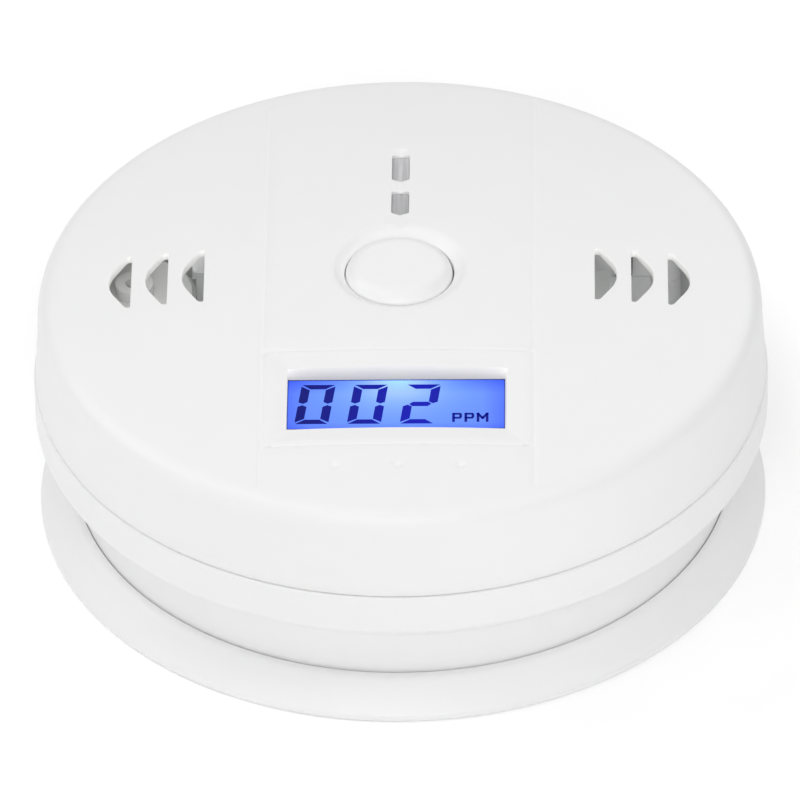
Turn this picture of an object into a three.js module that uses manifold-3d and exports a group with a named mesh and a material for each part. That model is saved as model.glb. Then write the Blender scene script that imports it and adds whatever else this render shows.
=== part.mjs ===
// Carbon monoxide detector: a round, battery-powered alarm that twists onto a screwed-down mounting plate.
// Millimetres, +Z out of the face. The origin is the centre of the mounting plate's back, which lies on
// the wall, ceiling or table. The display is on the -Y side and the gas vents are on the +X and -X sides.

import * as THREE from "three";
import { ConvexGeometry } from "three/addons/geometries/ConvexGeometry.js";
import { mergeVertices } from "three/addons/utils/BufferGeometryUtils.js";
import Module from "manifold-3d";

const wasm = await Module();
wasm.setup();

// ---- Driving dimensions ----

const GAP = 0.3; // air left between two pieces that touch on the real object
const ROUND = 40; // sides of the large turned pieces
const SMALL_ROUND = 16; // sides of screws, posts and other small round pieces
const THROUGH = 3; // how far a cutter runs past the wall that it cuts

// Mounting plate
const PLATE_RADIUS = 49.75;
const PLATE_FLOOR = 2.0;
const PLATE_RIM_RADIUS = 45.25;
const PLATE_RIM_Z = 4.6;
const SEAT_RING_Z = 2.7;
const SCREW_SLOT_SPACING = 60;
const SCREW_SLOT_WIDTH = 4.6;
const SCREW_SLOT_LENGTH = 12;
const SCREW_RECESS_MARGIN = 2.0;
const SCREW_RECESS_DEPTH = 1.0;

// Twist lock: three hooks on the plate pass through key slots in the rear housing's floor
const HOOK_ANGLES = [90, 210, 330];
const HOOK_RADIUS = 40.2;
const HOOK_HEAD_WIDTH = 4.4;
const HOOK_NECK_WIDTH = 2.0;
const HOOK_HEAD_SPAN = 11.4; // degrees
const HOOK_NECK_SPAN = 7.2; // degrees
const HOOK_HEAD_HEIGHT = 1.5;
const TWIST = 15; // degrees from locked to free
const SLOT_PLAY = 0.9; // degrees

// Rear housing
const HOUSING_BOTTOM = 3.0;
const HOUSING_FLOOR = 1.8;
const HOUSING_TOP = 21.6;
const BAND_RADIUS = 50;
const SKIRT_BOTTOM_RADIUS = 44.6;
const SKIRT_TOP_RADIUS = 45.5;
const SKIRT_TOP_Z = 12.4;
const BAND_BOTTOM_Z = 16.4;
const BAND_EDGE = 1.1;
const WALL = 1.8;
const TONGUE_RADIUS = 47.5;
const TONGUE_TOP = 23.2;

// Front cover
const COVER_BOTTOM = HOUSING_TOP + GAP;
const COVER_RADIUS = 49.75;
const COVER_RIM_RADIUS = 49.2;
const COVER_EDGE = 2.6;
const FACE_TOP = 38;
const FACE_DOME = 325; // radius of the shallow dome
const FACE_WALL = 2.2;
const COVER_WALL = 1.85;

// Features of the face
const PANEL_LINE_X = 18.25;
const PANEL_LINE_Y = [-40, 41];
const PANEL_LINE_WIDTH = 0.9;
const WINDOW_LINE_Y = [-16.4, -35.0];
const WINDOW_LINE_WIDTH = 0.7;
const LINE_DEPTH = 0.2;
const WINDOW_HALF_WIDTH = 14.63;
const WINDOW_Y = [-31.4, -19.6];
const BEZEL_HALF_WIDTH = 16.7;
const BEZEL_Y = [-34.4, -17.1];
const BEZEL_DROP = 0.55;
const BUTTON_Y = 1.25;
const BUTTON_HOLE_RADIUS = 7.6;
const BUTTON_DISH_RADIUS = 9.1;
const BUTTON_DISH_DEPTH = 1.2;
const GUIDE_WINDOWS = [
  { name: "upper", y: [21.3, 27.5] },
  { name: "lower", y: [13.2, 18.5] },
];
const GUIDE_WINDOW_WIDTH = 2.4;
const CHANNEL_Y = [9.6, 29.2];
const CHANNEL_WIDTH = 1.8;
const CHANNEL_DEPTH = 0.3;
const VENT_BASES = [26.46, 31.42, 36.38];
const VENT_Y = 0.6;
const VENT_LENGTH = 11.3;
const VENT_DEPTH = 3.0;
const VENT_SKIN = 1.1; // the cover is thin round the vents
const VENT_RECESS = { x: [25.2, 40.6], y: [-6.3, 7.5] };
const DIMPLES_X = [-8.4, 0, 8.4];
const DIMPLE_Y = -38.9;
const DIMPLE_RADIUS = 0.8;
const DIMPLE_DEPTH = 0.2;

// Screw posts that hold the two shells together
const POST_CIRCLE = 41.6;
const POST_ANGLES = [29.6, 150.4, 270];
const POST_RADIUS = 2.2;
const POST_FOOT_RADIUS = 3.0;
const POST_FOOT_TOP = 16;
const SHANK_RADIUS = 1.0;
const SHANK_HOLE_RADIUS = SHANK_RADIUS + GAP;
const HEAD_POCKET_RADIUS = 2.2;
const HEAD_POCKET_TOP = 8.5;
const SHANK_TOP = 29;
const POST_RIB_Y = [19.8, 21.3];
const SCREW_HEAD = 1.5;
const BOARD_SCREW_LENGTH = 4.4;
const BOARD_SCREW_HEAD_RADIUS = 2.0;

// Battery bay for three AA cells lying along X
const CELL_RADIUS = 7.1;
const CELL_LENGTH = 50.4;
const CELL_CAP_RADIUS = 2.75;
const CELL_CAP_HEIGHT = 1.3;
const CELL_PITCH = 14.7;
const CELL_Z = 10.6;
// Row 0 lies on the +Y side. Rows 0 and 2 have their positive end at +X, and row 1 at -X.
const CELL_ROWS = [0, 1, 2].map((i) => ({ y: (1 - i) * CELL_PITCH, facing: i === 1 ? -1 : 1 }));
const BAY_INSIDE = { x: 27.6, y: 22.3, top: 18.2 };
const BAY_WALL = 1.3;
const BAY_ROOF_TOP = BAY_INSIDE.top + 1.4;
const CONTACT_THICKNESS = 0.4;
const CONTACT_HALF_WIDTH = 6.4;
const CONTACT_Z = [4.2, 17.6];
const CONTACT_X = BAY_INSIDE.x - GAP - CONTACT_THICKNESS;
const CELL_END = CONTACT_X - GAP;
const TERMINAL_TAB_Y = 9.6;
const TERMINAL_TAB_HALF = 1.0;
const TERMINAL_TAB_TOP = BAY_ROOF_TOP + 1.4;
const SPRING = { wire: 0.35, wide: 5, narrow: 2.6, turns: 2.4 }; // radii of the wire and of the coil's ends
const BATTERY_LEAD_RADIUS = 0.5;

// Circuit board
const BOARD = { x: 25, y: 37.4, bottom: 22.9, thickness: 1.6 };
const BOARD_TOP = BOARD.bottom + BOARD.thickness;
const PART_BASE = BOARD_TOP + GAP;
const BOARD_SCREWS = [
  [22.3, 20],
  [-22.3, 20],
  [-22.3, -14],
  [22.3, -14],
];
const STANDOFF_RADIUS = 2.3;
const SENSOR = { at: [11.8, 27.6], radius: 7, top: 33.2, bevel: 0.8, mouth: 4.2, mouthDepth: 1.2 };
const LED = { radius: 1.5, collar: 0.4, collarHeight: 0.8, shoulderZ: 28.6 };
const CHIP = { x: [-18, -8], y: [20, 30], height: 1.6 };
const CAPACITOR = { at: [-18.5, -4], radius: 3.15, height: 7.4 };
const COIL = { at: [-12, 8.5], flange: 3.6, core: 2.6, rim: 1.0, slope: 0.4, height: 6 };

// Display module
const GLASS = { x: 16, y: [-33.4, -17.8], z: [31.9, 34.6] };
const DISPLAY_WALL = 1.0;
const DISPLAY_POCKET_TOP = 34.9;
const LIGHT_BOX_BOTTOM = 28.4;
const CONTACT_STRIP_WIDTH = 1.8;
const TRAY_TOP = 33.6;

// Test button and its switch
const BUTTON_RADIUS = 7.3;
const BUTTON_TOP = 38.15;
const BUTTON_FLAT_RADIUS = 5.3;
const BUTTON_SHOULDER_Z = 36.15;
const BUTTON_SKIRT_BOTTOM = 33.2;
const BUTTON_FLANGE_RADIUS = 8.5;
const BUTTON_FLANGE_TOP = 34.4;
const BUTTON_WALL = 1.2;
const STEM_RADIUS = 1.8;
const STEM_BOTTOM = 30.6;
const SWITCH_BODY_TOP = 28.6;
const SWITCH_BODY_HALF = 3;
const PLUNGER_RADIUS = 1.75;

// Sounder
const SOUNDER = { x: -36.4, y: 9, radius: 8.5, bottom: 20, top: 27.6 };
const SOUNDER_WALL = 1.0;
const SOUNDER_NOZZLE = { radius: 2.6, hole: 1.2, top: 29.2 };
const SOUNDER_BASE = 1.2;
const PIEZO = { radius: 6.9, thickness: 0.6, above: 2 };
const SOUNDER_LEAD_RADIUS = 0.45;

// Light guides between the lamps and their windows
const GUIDE_BOTTOM = 31;
const GUIDE_PLAY = 0.15;
const GUIDE_DROP = 0.5; // from the face down to the guide's end
const GUIDE_FLANGE = { side: 0.8, end: 0.6, thickness: 0.9 };
const LAMP_Y = { alarm: 24.3, power: 15.9 };

// Foam on the cover's rib
const FOAM = { x: [29.2, 31.7], thickness: 2.9, z: [23.6, 31] };

// ---- Materials ----

function finish(color, roughness, metalness = 0) {
  return new THREE.MeshStandardMaterial({ color, roughness, metalness });
}

// ---- Solids ----

function toSolid(geometry) {
  const bare = geometry.index ? geometry.toNonIndexed() : geometry.clone();
  bare.deleteAttribute("normal");
  bare.deleteAttribute("uv");
  const merged = mergeVertices(bare, 1e-4);
  const corners = merged.index.array;
  const kept = [];
  for (let i = 0; i < corners.length; i += 3) {
    const [a, b, c] = [corners[i], corners[i + 1], corners[i + 2]];
    if (a !== b && b !== c && c !== a) kept.push(a, b, c);
  }
  return new wasm.Manifold(
    new wasm.Mesh({
      numProp: 3,
      vertProperties: merged.attributes.position.array,
      triVerts: new Uint32Array(kept),
    }),
  );
}

function toMesh(name, solid, material) {
  const { numProp, vertProperties, triVerts } = solid.getMesh();
  const positions = new Float32Array((vertProperties.length / numProp) * 3);
  for (let i = 0; i < positions.length / 3; i++) {
    positions.set(vertProperties.subarray(i * numProp, i * numProp + 3), i * 3);
  }
  const geometry = new THREE.BufferGeometry();
  geometry.setAttribute("position", new THREE.BufferAttribute(positions, 3));
  geometry.setIndex(new THREE.BufferAttribute(triVerts, 1));
  const mesh = new THREE.Mesh(geometry, material);
  mesh.name = name;
  return mesh;
}

// A profile of [radius, height] points turned about Z. It runs counter-clockwise.
function turned(profile, sides = ROUND) {
  const points = profile.map(([r, z]) => new THREE.Vector2(r, z));
  return toSolid(new THREE.LatheGeometry(points, sides).rotateX(Math.PI / 2));
}

function block([x0, x1], [y0, y1], [z0, z1]) {
  const box = new THREE.BoxGeometry(x1 - x0, y1 - y0, z1 - z0);
  return toSolid(box.translate((x0 + x1) / 2, (y0 + y1) / 2, (z0 + z1) / 2));
}

function rod(radius, [z0, z1], [x, y] = [0, 0], sides = SMALL_ROUND) {
  const cylinder = new THREE.CylinderGeometry(radius, radius, z1 - z0, sides);
  cylinder.rotateX(Math.PI / 2);
  return toSolid(cylinder.translate(x, y, (z0 + z1) / 2));
}

function extruded(shape, [z0, z1], curveSegments = 1) {
  const options = { depth: z1 - z0, bevelEnabled: false, curveSegments };
  return toSolid(new THREE.ExtrudeGeometry(shape, options).translate(0, 0, z0));
}

// A ring segment between two radii and two angles in degrees.
function sector([r0, r1], [from, to], z) {
  const a0 = THREE.MathUtils.degToRad(from);
  const a1 = THREE.MathUtils.degToRad(to);
  const shape = new THREE.Shape();
  shape.absarc(0, 0, r1, a0, a1, false);
  shape.absarc(0, 0, r0, a1, a0, true);
  return extruded(shape, z, 2);
}

function wire(points, radius, steps, sides = 6) {
  const path = new THREE.CatmullRomCurve3(points.map((p) => new THREE.Vector3(...p)));
  const section = new THREE.Shape();
  section.absarc(0, 0, radius, 0, 2 * Math.PI);
  const curveSegments = sides / 2; // a full circle gets two points for each
  const options = { steps, extrudePath: path, curveSegments, bevelEnabled: false };
  return toSolid(new THREE.ExtrudeGeometry(section, options));
}

function joined(solids) {
  return solids.reduce((whole, next) => whole.add(next));
}

function cut(body, cutters) {
  return cutters.reduce((rest, cutter) => rest.subtract(cutter), body);
}

function onCircle(radius, degrees) {
  const angle = THREE.MathUtils.degToRad(degrees);
  return [radius * Math.cos(angle), radius * Math.sin(angle)];
}

// Points of an arc from one angle to another, both in degrees.
function arc([cx, cy], radiusX, radiusY, [from, to], steps) {
  return Array.from({ length: steps + 1 }, (_, i) => {
    const angle = THREE.MathUtils.degToRad(from + ((to - from) * i) / steps);
    return [cx + radiusX * Math.cos(angle), cy + radiusY * Math.sin(angle)];
  });
}

// ---- Face dome ----

function domeZ(radius, drop = 0) {
  const dome = FACE_DOME - drop;
  return FACE_TOP - FACE_DOME + Math.sqrt(dome * dome - radius * radius);
}

// Everything inside the dome that lies `drop` below the face.
function underDome(drop) {
  const steps = 10;
  const reach = 48;
  const profile = [[0, 0], [reach, 0]];
  for (let i = steps; i >= 0; i--) {
    const radius = (reach * i) / steps;
    profile.push([radius, domeZ(radius, drop)]);
  }
  return turned(profile);
}

function aboveDome(x, y, drop) {
  return block(x, y, [FACE_TOP - 8, FACE_TOP + THROUGH]).subtract(underDome(drop));
}

function belowDome(x, y, bottom, drop) {
  return block(x, y, [bottom, FACE_TOP]).intersect(underDome(drop));
}

// ---- Mounting plate ----

function hook(angle) {
  const headBottom = HOUSING_BOTTOM + HOUSING_FLOOR + GAP;
  const head = [HOOK_RADIUS - HOOK_HEAD_WIDTH / 2, HOOK_RADIUS + HOOK_HEAD_WIDTH / 2];
  const neck = [HOOK_RADIUS - HOOK_NECK_WIDTH / 2, HOOK_RADIUS + HOOK_NECK_WIDTH / 2];
  const headSpan = [angle - HOOK_HEAD_SPAN / 2, angle + HOOK_HEAD_SPAN / 2];
  const neckSpan = [angle - HOOK_NECK_SPAN / 2, angle + HOOK_NECK_SPAN / 2];
  return joined([
    sector(neck, neckSpan, [PLATE_FLOOR / 2, headBottom + HOOK_HEAD_HEIGHT / 2]),
    sector(head, headSpan, [headBottom, headBottom + HOOK_HEAD_HEIGHT]),
  ]);
}

function screwSlot(x, width, length, z) {
  const straight = (length - width) / 2;
  const shape = new THREE.Shape();
  shape.absarc(x, straight, width / 2, 0, Math.PI, false);
  shape.absarc(x, -straight, width / 2, Math.PI, 2 * Math.PI, false);
  return extruded(shape, z, 5);
}

function mountingPlate() {
  const coreRing = { inner: 45.4, outer: 47.2, top: 2.2 };
  const seatRing = { inner: 43.2, outer: 44.6 };
  const disc = turned([
    [0, 0],
    [coreRing.inner, 0],
    [coreRing.inner, coreRing.top],
    [coreRing.outer - 0.4, coreRing.top],
    [coreRing.outer, 0],
    [PLATE_RADIUS - 0.25, 0],
    [PLATE_RADIUS, 0.25],
    [PLATE_RADIUS, 0.6],
    [PLATE_RADIUS - 0.4, 1.1],
    [PLATE_RIM_RADIUS + 0.8, PLATE_RIM_Z - 0.3],
    [PLATE_RIM_RADIUS + 0.4, PLATE_RIM_Z],
    [PLATE_RIM_RADIUS, PLATE_RIM_Z],
    [PLATE_RIM_RADIUS, PLATE_FLOOR],
    [seatRing.outer, PLATE_FLOOR],
    [seatRing.outer, SEAT_RING_Z],
    [seatRing.inner, SEAT_RING_Z],
    [seatRing.inner, PLATE_FLOOR],
    [0, PLATE_FLOOR],
  ]);
  const recess = [PLATE_FLOOR - SCREW_RECESS_DEPTH, PLATE_FLOOR + THROUGH];
  const cutters = [-1, 1].flatMap((side) => {
    const x = (side * SCREW_SLOT_SPACING) / 2;
    const wide = SCREW_SLOT_WIDTH + 2 * SCREW_RECESS_MARGIN;
    const long = SCREW_SLOT_LENGTH + 2 * SCREW_RECESS_MARGIN;
    return [
      screwSlot(x, SCREW_SLOT_WIDTH, SCREW_SLOT_LENGTH, [-THROUGH, PLATE_FLOOR + THROUGH]),
      screwSlot(x, wide, long, recess),
    ];
  });
  const solid = joined([cut(disc, cutters), ...HOOK_ANGLES.map(hook)]);
  return toMesh("mounting_plate", solid, finish(0xf1f1f0, 0.5));
}

// ---- Rear housing ----

function housingShell() {
  const inner = HOUSING_BOTTOM + HOUSING_FLOOR;
  const edgeCentre = [BAND_RADIUS - BAND_EDGE, BAND_BOTTOM_Z + BAND_EDGE * 0.6];
  return turned([
    [0, HOUSING_BOTTOM],
    [SKIRT_BOTTOM_RADIUS - 0.4, HOUSING_BOTTOM],
    [SKIRT_BOTTOM_RADIUS, HOUSING_BOTTOM + 0.4],
    [SKIRT_TOP_RADIUS, SKIRT_TOP_Z],
    ...arc(edgeCentre, BAND_EDGE, BAND_EDGE, [-50, 0], 3),
    [BAND_RADIUS, HOUSING_TOP],
    [TONGUE_RADIUS, HOUSING_TOP],
    [TONGUE_RADIUS, TONGUE_TOP],
    [TONGUE_RADIUS - 1, TONGUE_TOP],
    [TONGUE_RADIUS - 1, BAND_BOTTOM_Z + 2.6],
    [SKIRT_TOP_RADIUS - WALL, SKIRT_TOP_Z + 1],
    [SKIRT_BOTTOM_RADIUS - WALL, inner + 0.6],
    [SKIRT_BOTTOM_RADIUS - WALL - 0.6, inner],
    [0, inner],
  ]);
}

function keySlot(angle) {
  const z = [HOUSING_BOTTOM - 1, HOUSING_BOTTOM + HOUSING_FLOOR + 1];
  const wide = HOOK_HEAD_WIDTH / 2 + GAP;
  const narrow = HOOK_NECK_WIDTH / 2 + GAP;
  const free = angle - TWIST;
  return joined([
    sector(
      [HOOK_RADIUS - wide, HOOK_RADIUS + wide],
      [free - HOOK_HEAD_SPAN / 2 - SLOT_PLAY, free + HOOK_HEAD_SPAN / 2 + SLOT_PLAY],
      z,
    ),
    sector(
      [HOOK_RADIUS - narrow, HOOK_RADIUS + narrow],
      [free, angle + HOOK_NECK_SPAN / 2 + SLOT_PLAY],
      z,
    ),
  ]);
}

function housingPosts() {
  return POST_ANGLES.flatMap((angle) => {
    const at = onCircle(POST_CIRCLE, angle);
    return [
      rod(POST_FOOT_RADIUS, [HOUSING_BOTTOM, POST_FOOT_TOP], at),
      rod(POST_RADIUS, [POST_FOOT_TOP - 1, HOUSING_TOP], at),
    ];
  });
}

function housingPostHoles() {
  return POST_ANGLES.flatMap((angle) => {
    const at = onCircle(POST_CIRCLE, angle);
    return [
      rod(HEAD_POCKET_RADIUS, [HOUSING_BOTTOM - 1, HEAD_POCKET_TOP], at),
      rod(SHANK_HOLE_RADIUS, [HEAD_POCKET_TOP - 1, HOUSING_TOP + 1], at),
    ];
  });
}

// Two upright walls that the sounder stands on. Each runs from the bay to the housing's side.
function sounderPedestals() {
  const half = 0.8;
  const z = [HOUSING_BOTTOM + 1, SOUNDER.bottom - GAP];
  return [
    block([-43, -BAY_INSIDE.x], [3 - half, 3 + half], z),
    block([-40.4, -BAY_INSIDE.x], [15 - half, 15 + half], z),
  ];
}

function rearHousing() {
  const floorTop = HOUSING_BOTTOM + HOUSING_FLOOR;
  const bayX = BAY_INSIDE.x + BAY_WALL;
  const bayY = BAY_INSIDE.y + BAY_WALL;
  const postX = onCircle(POST_CIRCLE, POST_ANGLES[0])[0];
  const ribZ = [floorTop - 1, HOUSING_TOP];
  const added = [
    block([-bayX, bayX], [-bayY, bayY], [HOUSING_BOTTOM, BAY_ROOF_TOP]),
    block([bayX - 1, postX], POST_RIB_Y, ribZ),
    block([-postX, 1 - bayX], POST_RIB_Y, ribZ),
    ...BOARD_SCREWS.map((at) => rod(STANDOFF_RADIUS, [BAY_ROOF_TOP - 1, BOARD.bottom - GAP], at)),
    ...sounderPedestals(),
    ...housingPosts(),
  ];
  const tabSlot = { halfLength: 1.4, x: [CONTACT_X - GAP, BAY_INSIDE.x + GAP] };
  const removed = [
    block(
      [-BAY_INSIDE.x, BAY_INSIDE.x],
      [-BAY_INSIDE.y, BAY_INSIDE.y],
      [HOUSING_BOTTOM - 1, BAY_INSIDE.top],
    ),
    block(
      tabSlot.x,
      [-TERMINAL_TAB_Y - tabSlot.halfLength, -TERMINAL_TAB_Y + tabSlot.halfLength],
      [BAY_INSIDE.top - 1, BAY_ROOF_TOP + 1],
    ),
    block(
      [-tabSlot.x[1], -tabSlot.x[0]],
      [TERMINAL_TAB_Y - tabSlot.halfLength, TERMINAL_TAB_Y + tabSlot.halfLength],
      [BAY_INSIDE.top - 1, BAY_ROOF_TOP + 1],
    ),
    ...BOARD_SCREWS.map((at) => rod(SHANK_HOLE_RADIUS, [BAY_ROOF_TOP + GAP, BOARD.bottom], at)),
    ...HOOK_ANGLES.map(keySlot),
    ...housingPostHoles(),
  ];
  const solid = cut(joined([housingShell(), ...added]), removed);
  return toMesh("rear_housing", solid, finish(0xf0f0ef, 0.45));
}

// ---- Front cover ----

function coverProfile(bottomRadius, rimRadius, edge, drop, steps) {
  const domeSteps = steps;
  const dome = FACE_DOME - drop;
  let touch = rimRadius - edge;
  for (let i = 0; i < 4; i++) touch = rimRadius - edge * (1 - touch / dome);
  const tilt = Math.asin(touch / dome);
  const centre = [touch - edge * Math.sin(tilt), domeZ(touch, drop) - edge * Math.cos(tilt)];
  const end = 90 - THREE.MathUtils.radToDeg(tilt);
  const profile = [[bottomRadius, COVER_BOTTOM], ...arc(centre, edge, edge, [0, end], steps)];
  for (let i = domeSteps - 1; i >= 0; i--) {
    const radius = (touch * i) / domeSteps;
    profile.push([radius, domeZ(radius, drop)]);
  }
  return profile;
}

function coverShell() {
  const outer = coverProfile(COVER_RADIUS, COVER_RIM_RADIUS, COVER_EDGE, 0, 5);
  const inner = coverProfile(
    COVER_RADIUS - COVER_WALL,
    COVER_RIM_RADIUS - COVER_WALL,
    COVER_EDGE - COVER_WALL,
    FACE_WALL,
    3,
  );
  return turned([...outer, ...inner.reverse(), outer[0]]);
}

// A tapered slot: straight on the inner side, narrowing to a rounded point.
function ventCutter(base, side) {
  const half = VENT_LENGTH / 2;
  const corner = 0.3;
  const shoulder = { x: 0.84, y: half - 0.35 };
  const flank = { x: 2.18, y: 3.0 };
  const bend = 1.59; // where the flank's line would meet the tip's
  const shape = new THREE.Shape();
  shape.moveTo(0, half - corner);
  shape.quadraticCurveTo(0, half, corner, half);
  shape.quadraticCurveTo(0.62, half, shoulder.x, shoulder.y);
  shape.lineTo(flank.x, flank.y);
  shape.quadraticCurveTo(VENT_DEPTH, bend, VENT_DEPTH, 0);
  shape.quadraticCurveTo(VENT_DEPTH, -bend, flank.x, -flank.y);
  shape.lineTo(shoulder.x, -shoulder.y);
  shape.quadraticCurveTo(0.62, -half, corner, -half);
  shape.quadraticCurveTo(0, -half, 0, corner - half);
  const depth = 8;
  const options = { depth, bevelEnabled: false, curveSegments: 3 };
  const geometry = new THREE.ExtrudeGeometry(shape, options);
  geometry.translate(base, VENT_Y, -depth / 2);
  if (side < 0) geometry.rotateY(Math.PI);
  return toSolid(geometry.translate(0, 0, FACE_TOP - 2));
}

// A pocket under each group of vents, which leaves only a thin skin there.
function ventRecesses() {
  const [inner, outer] = VENT_RECESS.x;
  const bottom = FACE_TOP - 6;
  return [
    belowDome([inner, outer], VENT_RECESS.y, bottom, VENT_SKIN),
    belowDome([-outer, -inner], VENT_RECESS.y, bottom, VENT_SKIN),
  ];
}

function buttonHole() {
  const dishTop = domeZ(BUTTON_DISH_RADIUS);
  const slope = BUTTON_DISH_DEPTH / (BUTTON_DISH_RADIUS - BUTTON_HOLE_RADIUS);
  const bottom = FACE_TOP - 6;
  const profile = [
    [0, bottom],
    [BUTTON_HOLE_RADIUS, bottom],
    [BUTTON_HOLE_RADIUS, dishTop - BUTTON_DISH_DEPTH],
    [BUTTON_DISH_RADIUS + 1, dishTop + slope],
    [0, dishTop + slope],
  ];
  return turned(profile, 32).translate([0, BUTTON_Y, 0]);
}

// The sloping frame round the display window, flat-sided, and the window itself.
function windowCutters() {
  const grow = 2; // the slopes run on past the face by this many times their own width
  const corners = [];
  for (const sx of [-1, 1]) {
    for (const end of [0, 1]) {
      const innerPoint = new THREE.Vector3(sx * WINDOW_HALF_WIDTH, WINDOW_Y[end], 0);
      innerPoint.z = domeZ(Math.hypot(innerPoint.x, innerPoint.y)) - BEZEL_DROP;
      const outerPoint = new THREE.Vector3(sx * BEZEL_HALF_WIDTH, BEZEL_Y[end], 0);
      outerPoint.z = domeZ(Math.hypot(outerPoint.x, outerPoint.y));
      corners.push(innerPoint, outerPoint.lerpVectors(innerPoint, outerPoint, 1 + grow));
    }
  }
  const frame = block([-BEZEL_HALF_WIDTH, BEZEL_HALF_WIDTH], BEZEL_Y, [FACE_TOP - 4, FACE_TOP]);
  const slopes = toSolid(new ConvexGeometry(corners)).intersect(frame);
  const window = block(
    [-WINDOW_HALF_WIDTH, WINDOW_HALF_WIDTH],
    WINDOW_Y,
    [FACE_TOP - 6, FACE_TOP + THROUGH],
  );
  return [slopes, window];
}

function panelLines() {
  const half = PANEL_LINE_WIDTH / 2;
  const thin = WINDOW_LINE_WIDTH / 2;
  const across = [-PANEL_LINE_X, PANEL_LINE_X];
  return [
    ...across.map((x) => aboveDome([x - half, x + half], PANEL_LINE_Y, LINE_DEPTH)),
    ...WINDOW_LINE_Y.map((y) => aboveDome(across, [y - thin, y + thin], LINE_DEPTH)),
  ];
}

function dimple(x) {
  const z = domeZ(Math.hypot(x, DIMPLE_Y));
  return rod(DIMPLE_RADIUS, [z - DIMPLE_DEPTH, z + THROUGH], [x, DIMPLE_Y], 10);
}

// Room under the face for the display's tray.
function displayPocket() {
  const margin = DISPLAY_WALL + 0.5;
  return block(
    [-GLASS.x - margin, GLASS.x + margin],
    [GLASS.y[0] - margin, GLASS.y[1] + margin],
    [FACE_TOP - 8, DISPLAY_POCKET_TOP],
  );
}

function frontCover() {
  const insideTop = FACE_TOP - 3.4;
  const postX = onCircle(POST_CIRCLE, POST_ANGLES[0])[0];
  const bayX = BAY_INSIDE.x + BAY_WALL;
  const posts = POST_ANGLES.map((angle) => onCircle(POST_CIRCLE, angle));
  const added = [
    ...posts.map((at) => rod(POST_RADIUS, [COVER_BOTTOM, insideTop - 0.7], at)),
    block([bayX, postX], POST_RIB_Y, [COVER_BOTTOM, insideTop]),
    block([-postX, -bayX], POST_RIB_Y, [COVER_BOTTOM, insideTop]),
  ];
  const guideX = [-GUIDE_WINDOW_WIDTH / 2, GUIDE_WINDOW_WIDTH / 2];
  const channelX = [-CHANNEL_WIDTH / 2, CHANNEL_WIDTH / 2];
  const removed = [
    ...posts.map((at) => rod(SHANK_HOLE_RADIUS, [COVER_BOTTOM - 1, SHANK_TOP + 1], at)),
    ...VENT_BASES.flatMap((base) => [ventCutter(base, 1), ventCutter(base, -1)]),
    ...ventRecesses(),
    ...windowCutters(),
    ...panelLines(),
    buttonHole(),
    aboveDome(channelX, CHANNEL_Y, CHANNEL_DEPTH),
    ...GUIDE_WINDOWS.map(({ y }) => block(guideX, y, [FACE_TOP - 6, FACE_TOP + THROUGH])),
    ...DIMPLES_X.map(dimple),
    displayPocket(),
  ];
  const solid = cut(joined([coverShell(), ...added]), removed);
  return toMesh("front_cover", solid, finish(0xf4f4f3, 0.42));
}

// ---- Test button and switch ----

function testButton() {
  const roof = BUTTON_TOP - 1.4;
  const insideRadius = BUTTON_RADIUS - BUTTON_WALL;
  const rounding = arc(
    [BUTTON_FLAT_RADIUS, BUTTON_SHOULDER_Z],
    BUTTON_RADIUS - BUTTON_FLAT_RADIUS,
    BUTTON_TOP - BUTTON_SHOULDER_Z,
    [0, 90],
    4,
  );
  const profile = [
    [0, STEM_BOTTOM],
    [STEM_RADIUS, STEM_BOTTOM],
    [STEM_RADIUS, roof],
    [insideRadius, roof - 0.5],
    [insideRadius, BUTTON_SKIRT_BOTTOM],
    [BUTTON_FLANGE_RADIUS, BUTTON_SKIRT_BOTTOM],
    [BUTTON_FLANGE_RADIUS, BUTTON_FLANGE_TOP],
    [BUTTON_RADIUS, BUTTON_FLANGE_TOP],
    ...rounding,
    [0, BUTTON_TOP],
  ];
  const solid = turned(profile, 32).translate([0, BUTTON_Y, 0]);
  return toMesh("test_button", solid, finish(0xf4f4f3, 0.4));
}

function switchBody() {
  const half = SWITCH_BODY_HALF;
  const body = block([-half, half], [BUTTON_Y - half, BUTTON_Y + half], [PART_BASE, SWITCH_BODY_TOP]);
  const well = rod(PLUNGER_RADIUS + GAP, [SWITCH_BODY_TOP - 2, SWITCH_BODY_TOP + 1], [0, BUTTON_Y]);
  return toMesh("switch_body", body.subtract(well), finish(0x26262a, 0.5));
}

function switchPlunger() {
  const solid = rod(PLUNGER_RADIUS, [SWITCH_BODY_TOP - 1, STEM_BOTTOM - GAP], [0, BUTTON_Y]);
  return toMesh("switch_plunger", solid, finish(0x1c1c1e, 0.4));
}

// ---- Circuit board and what stands on it ----

function circuitBoard() {
  const { x, y } = BOARD;
  const corner = 8;
  const shape = new THREE.Shape();
  shape.moveTo(-x + corner, -y);
  shape.lineTo(x - corner, -y);
  shape.lineTo(x, -y + corner);
  shape.lineTo(x, y - corner);
  shape.lineTo(x - corner, y);
  shape.lineTo(-x + corner, y);
  shape.lineTo(-x, y - corner);
  shape.lineTo(-x, -y + corner);
  const board = extruded(shape, [BOARD.bottom, BOARD_TOP]);
  const holes = BOARD_SCREWS.map((at) =>
    rod(SHANK_HOLE_RADIUS, [BOARD.bottom - 1, BOARD_TOP + 1], at),
  );
  return toMesh("circuit_board", cut(board, holes), finish(0x1f6b3a, 0.5));
}

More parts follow.
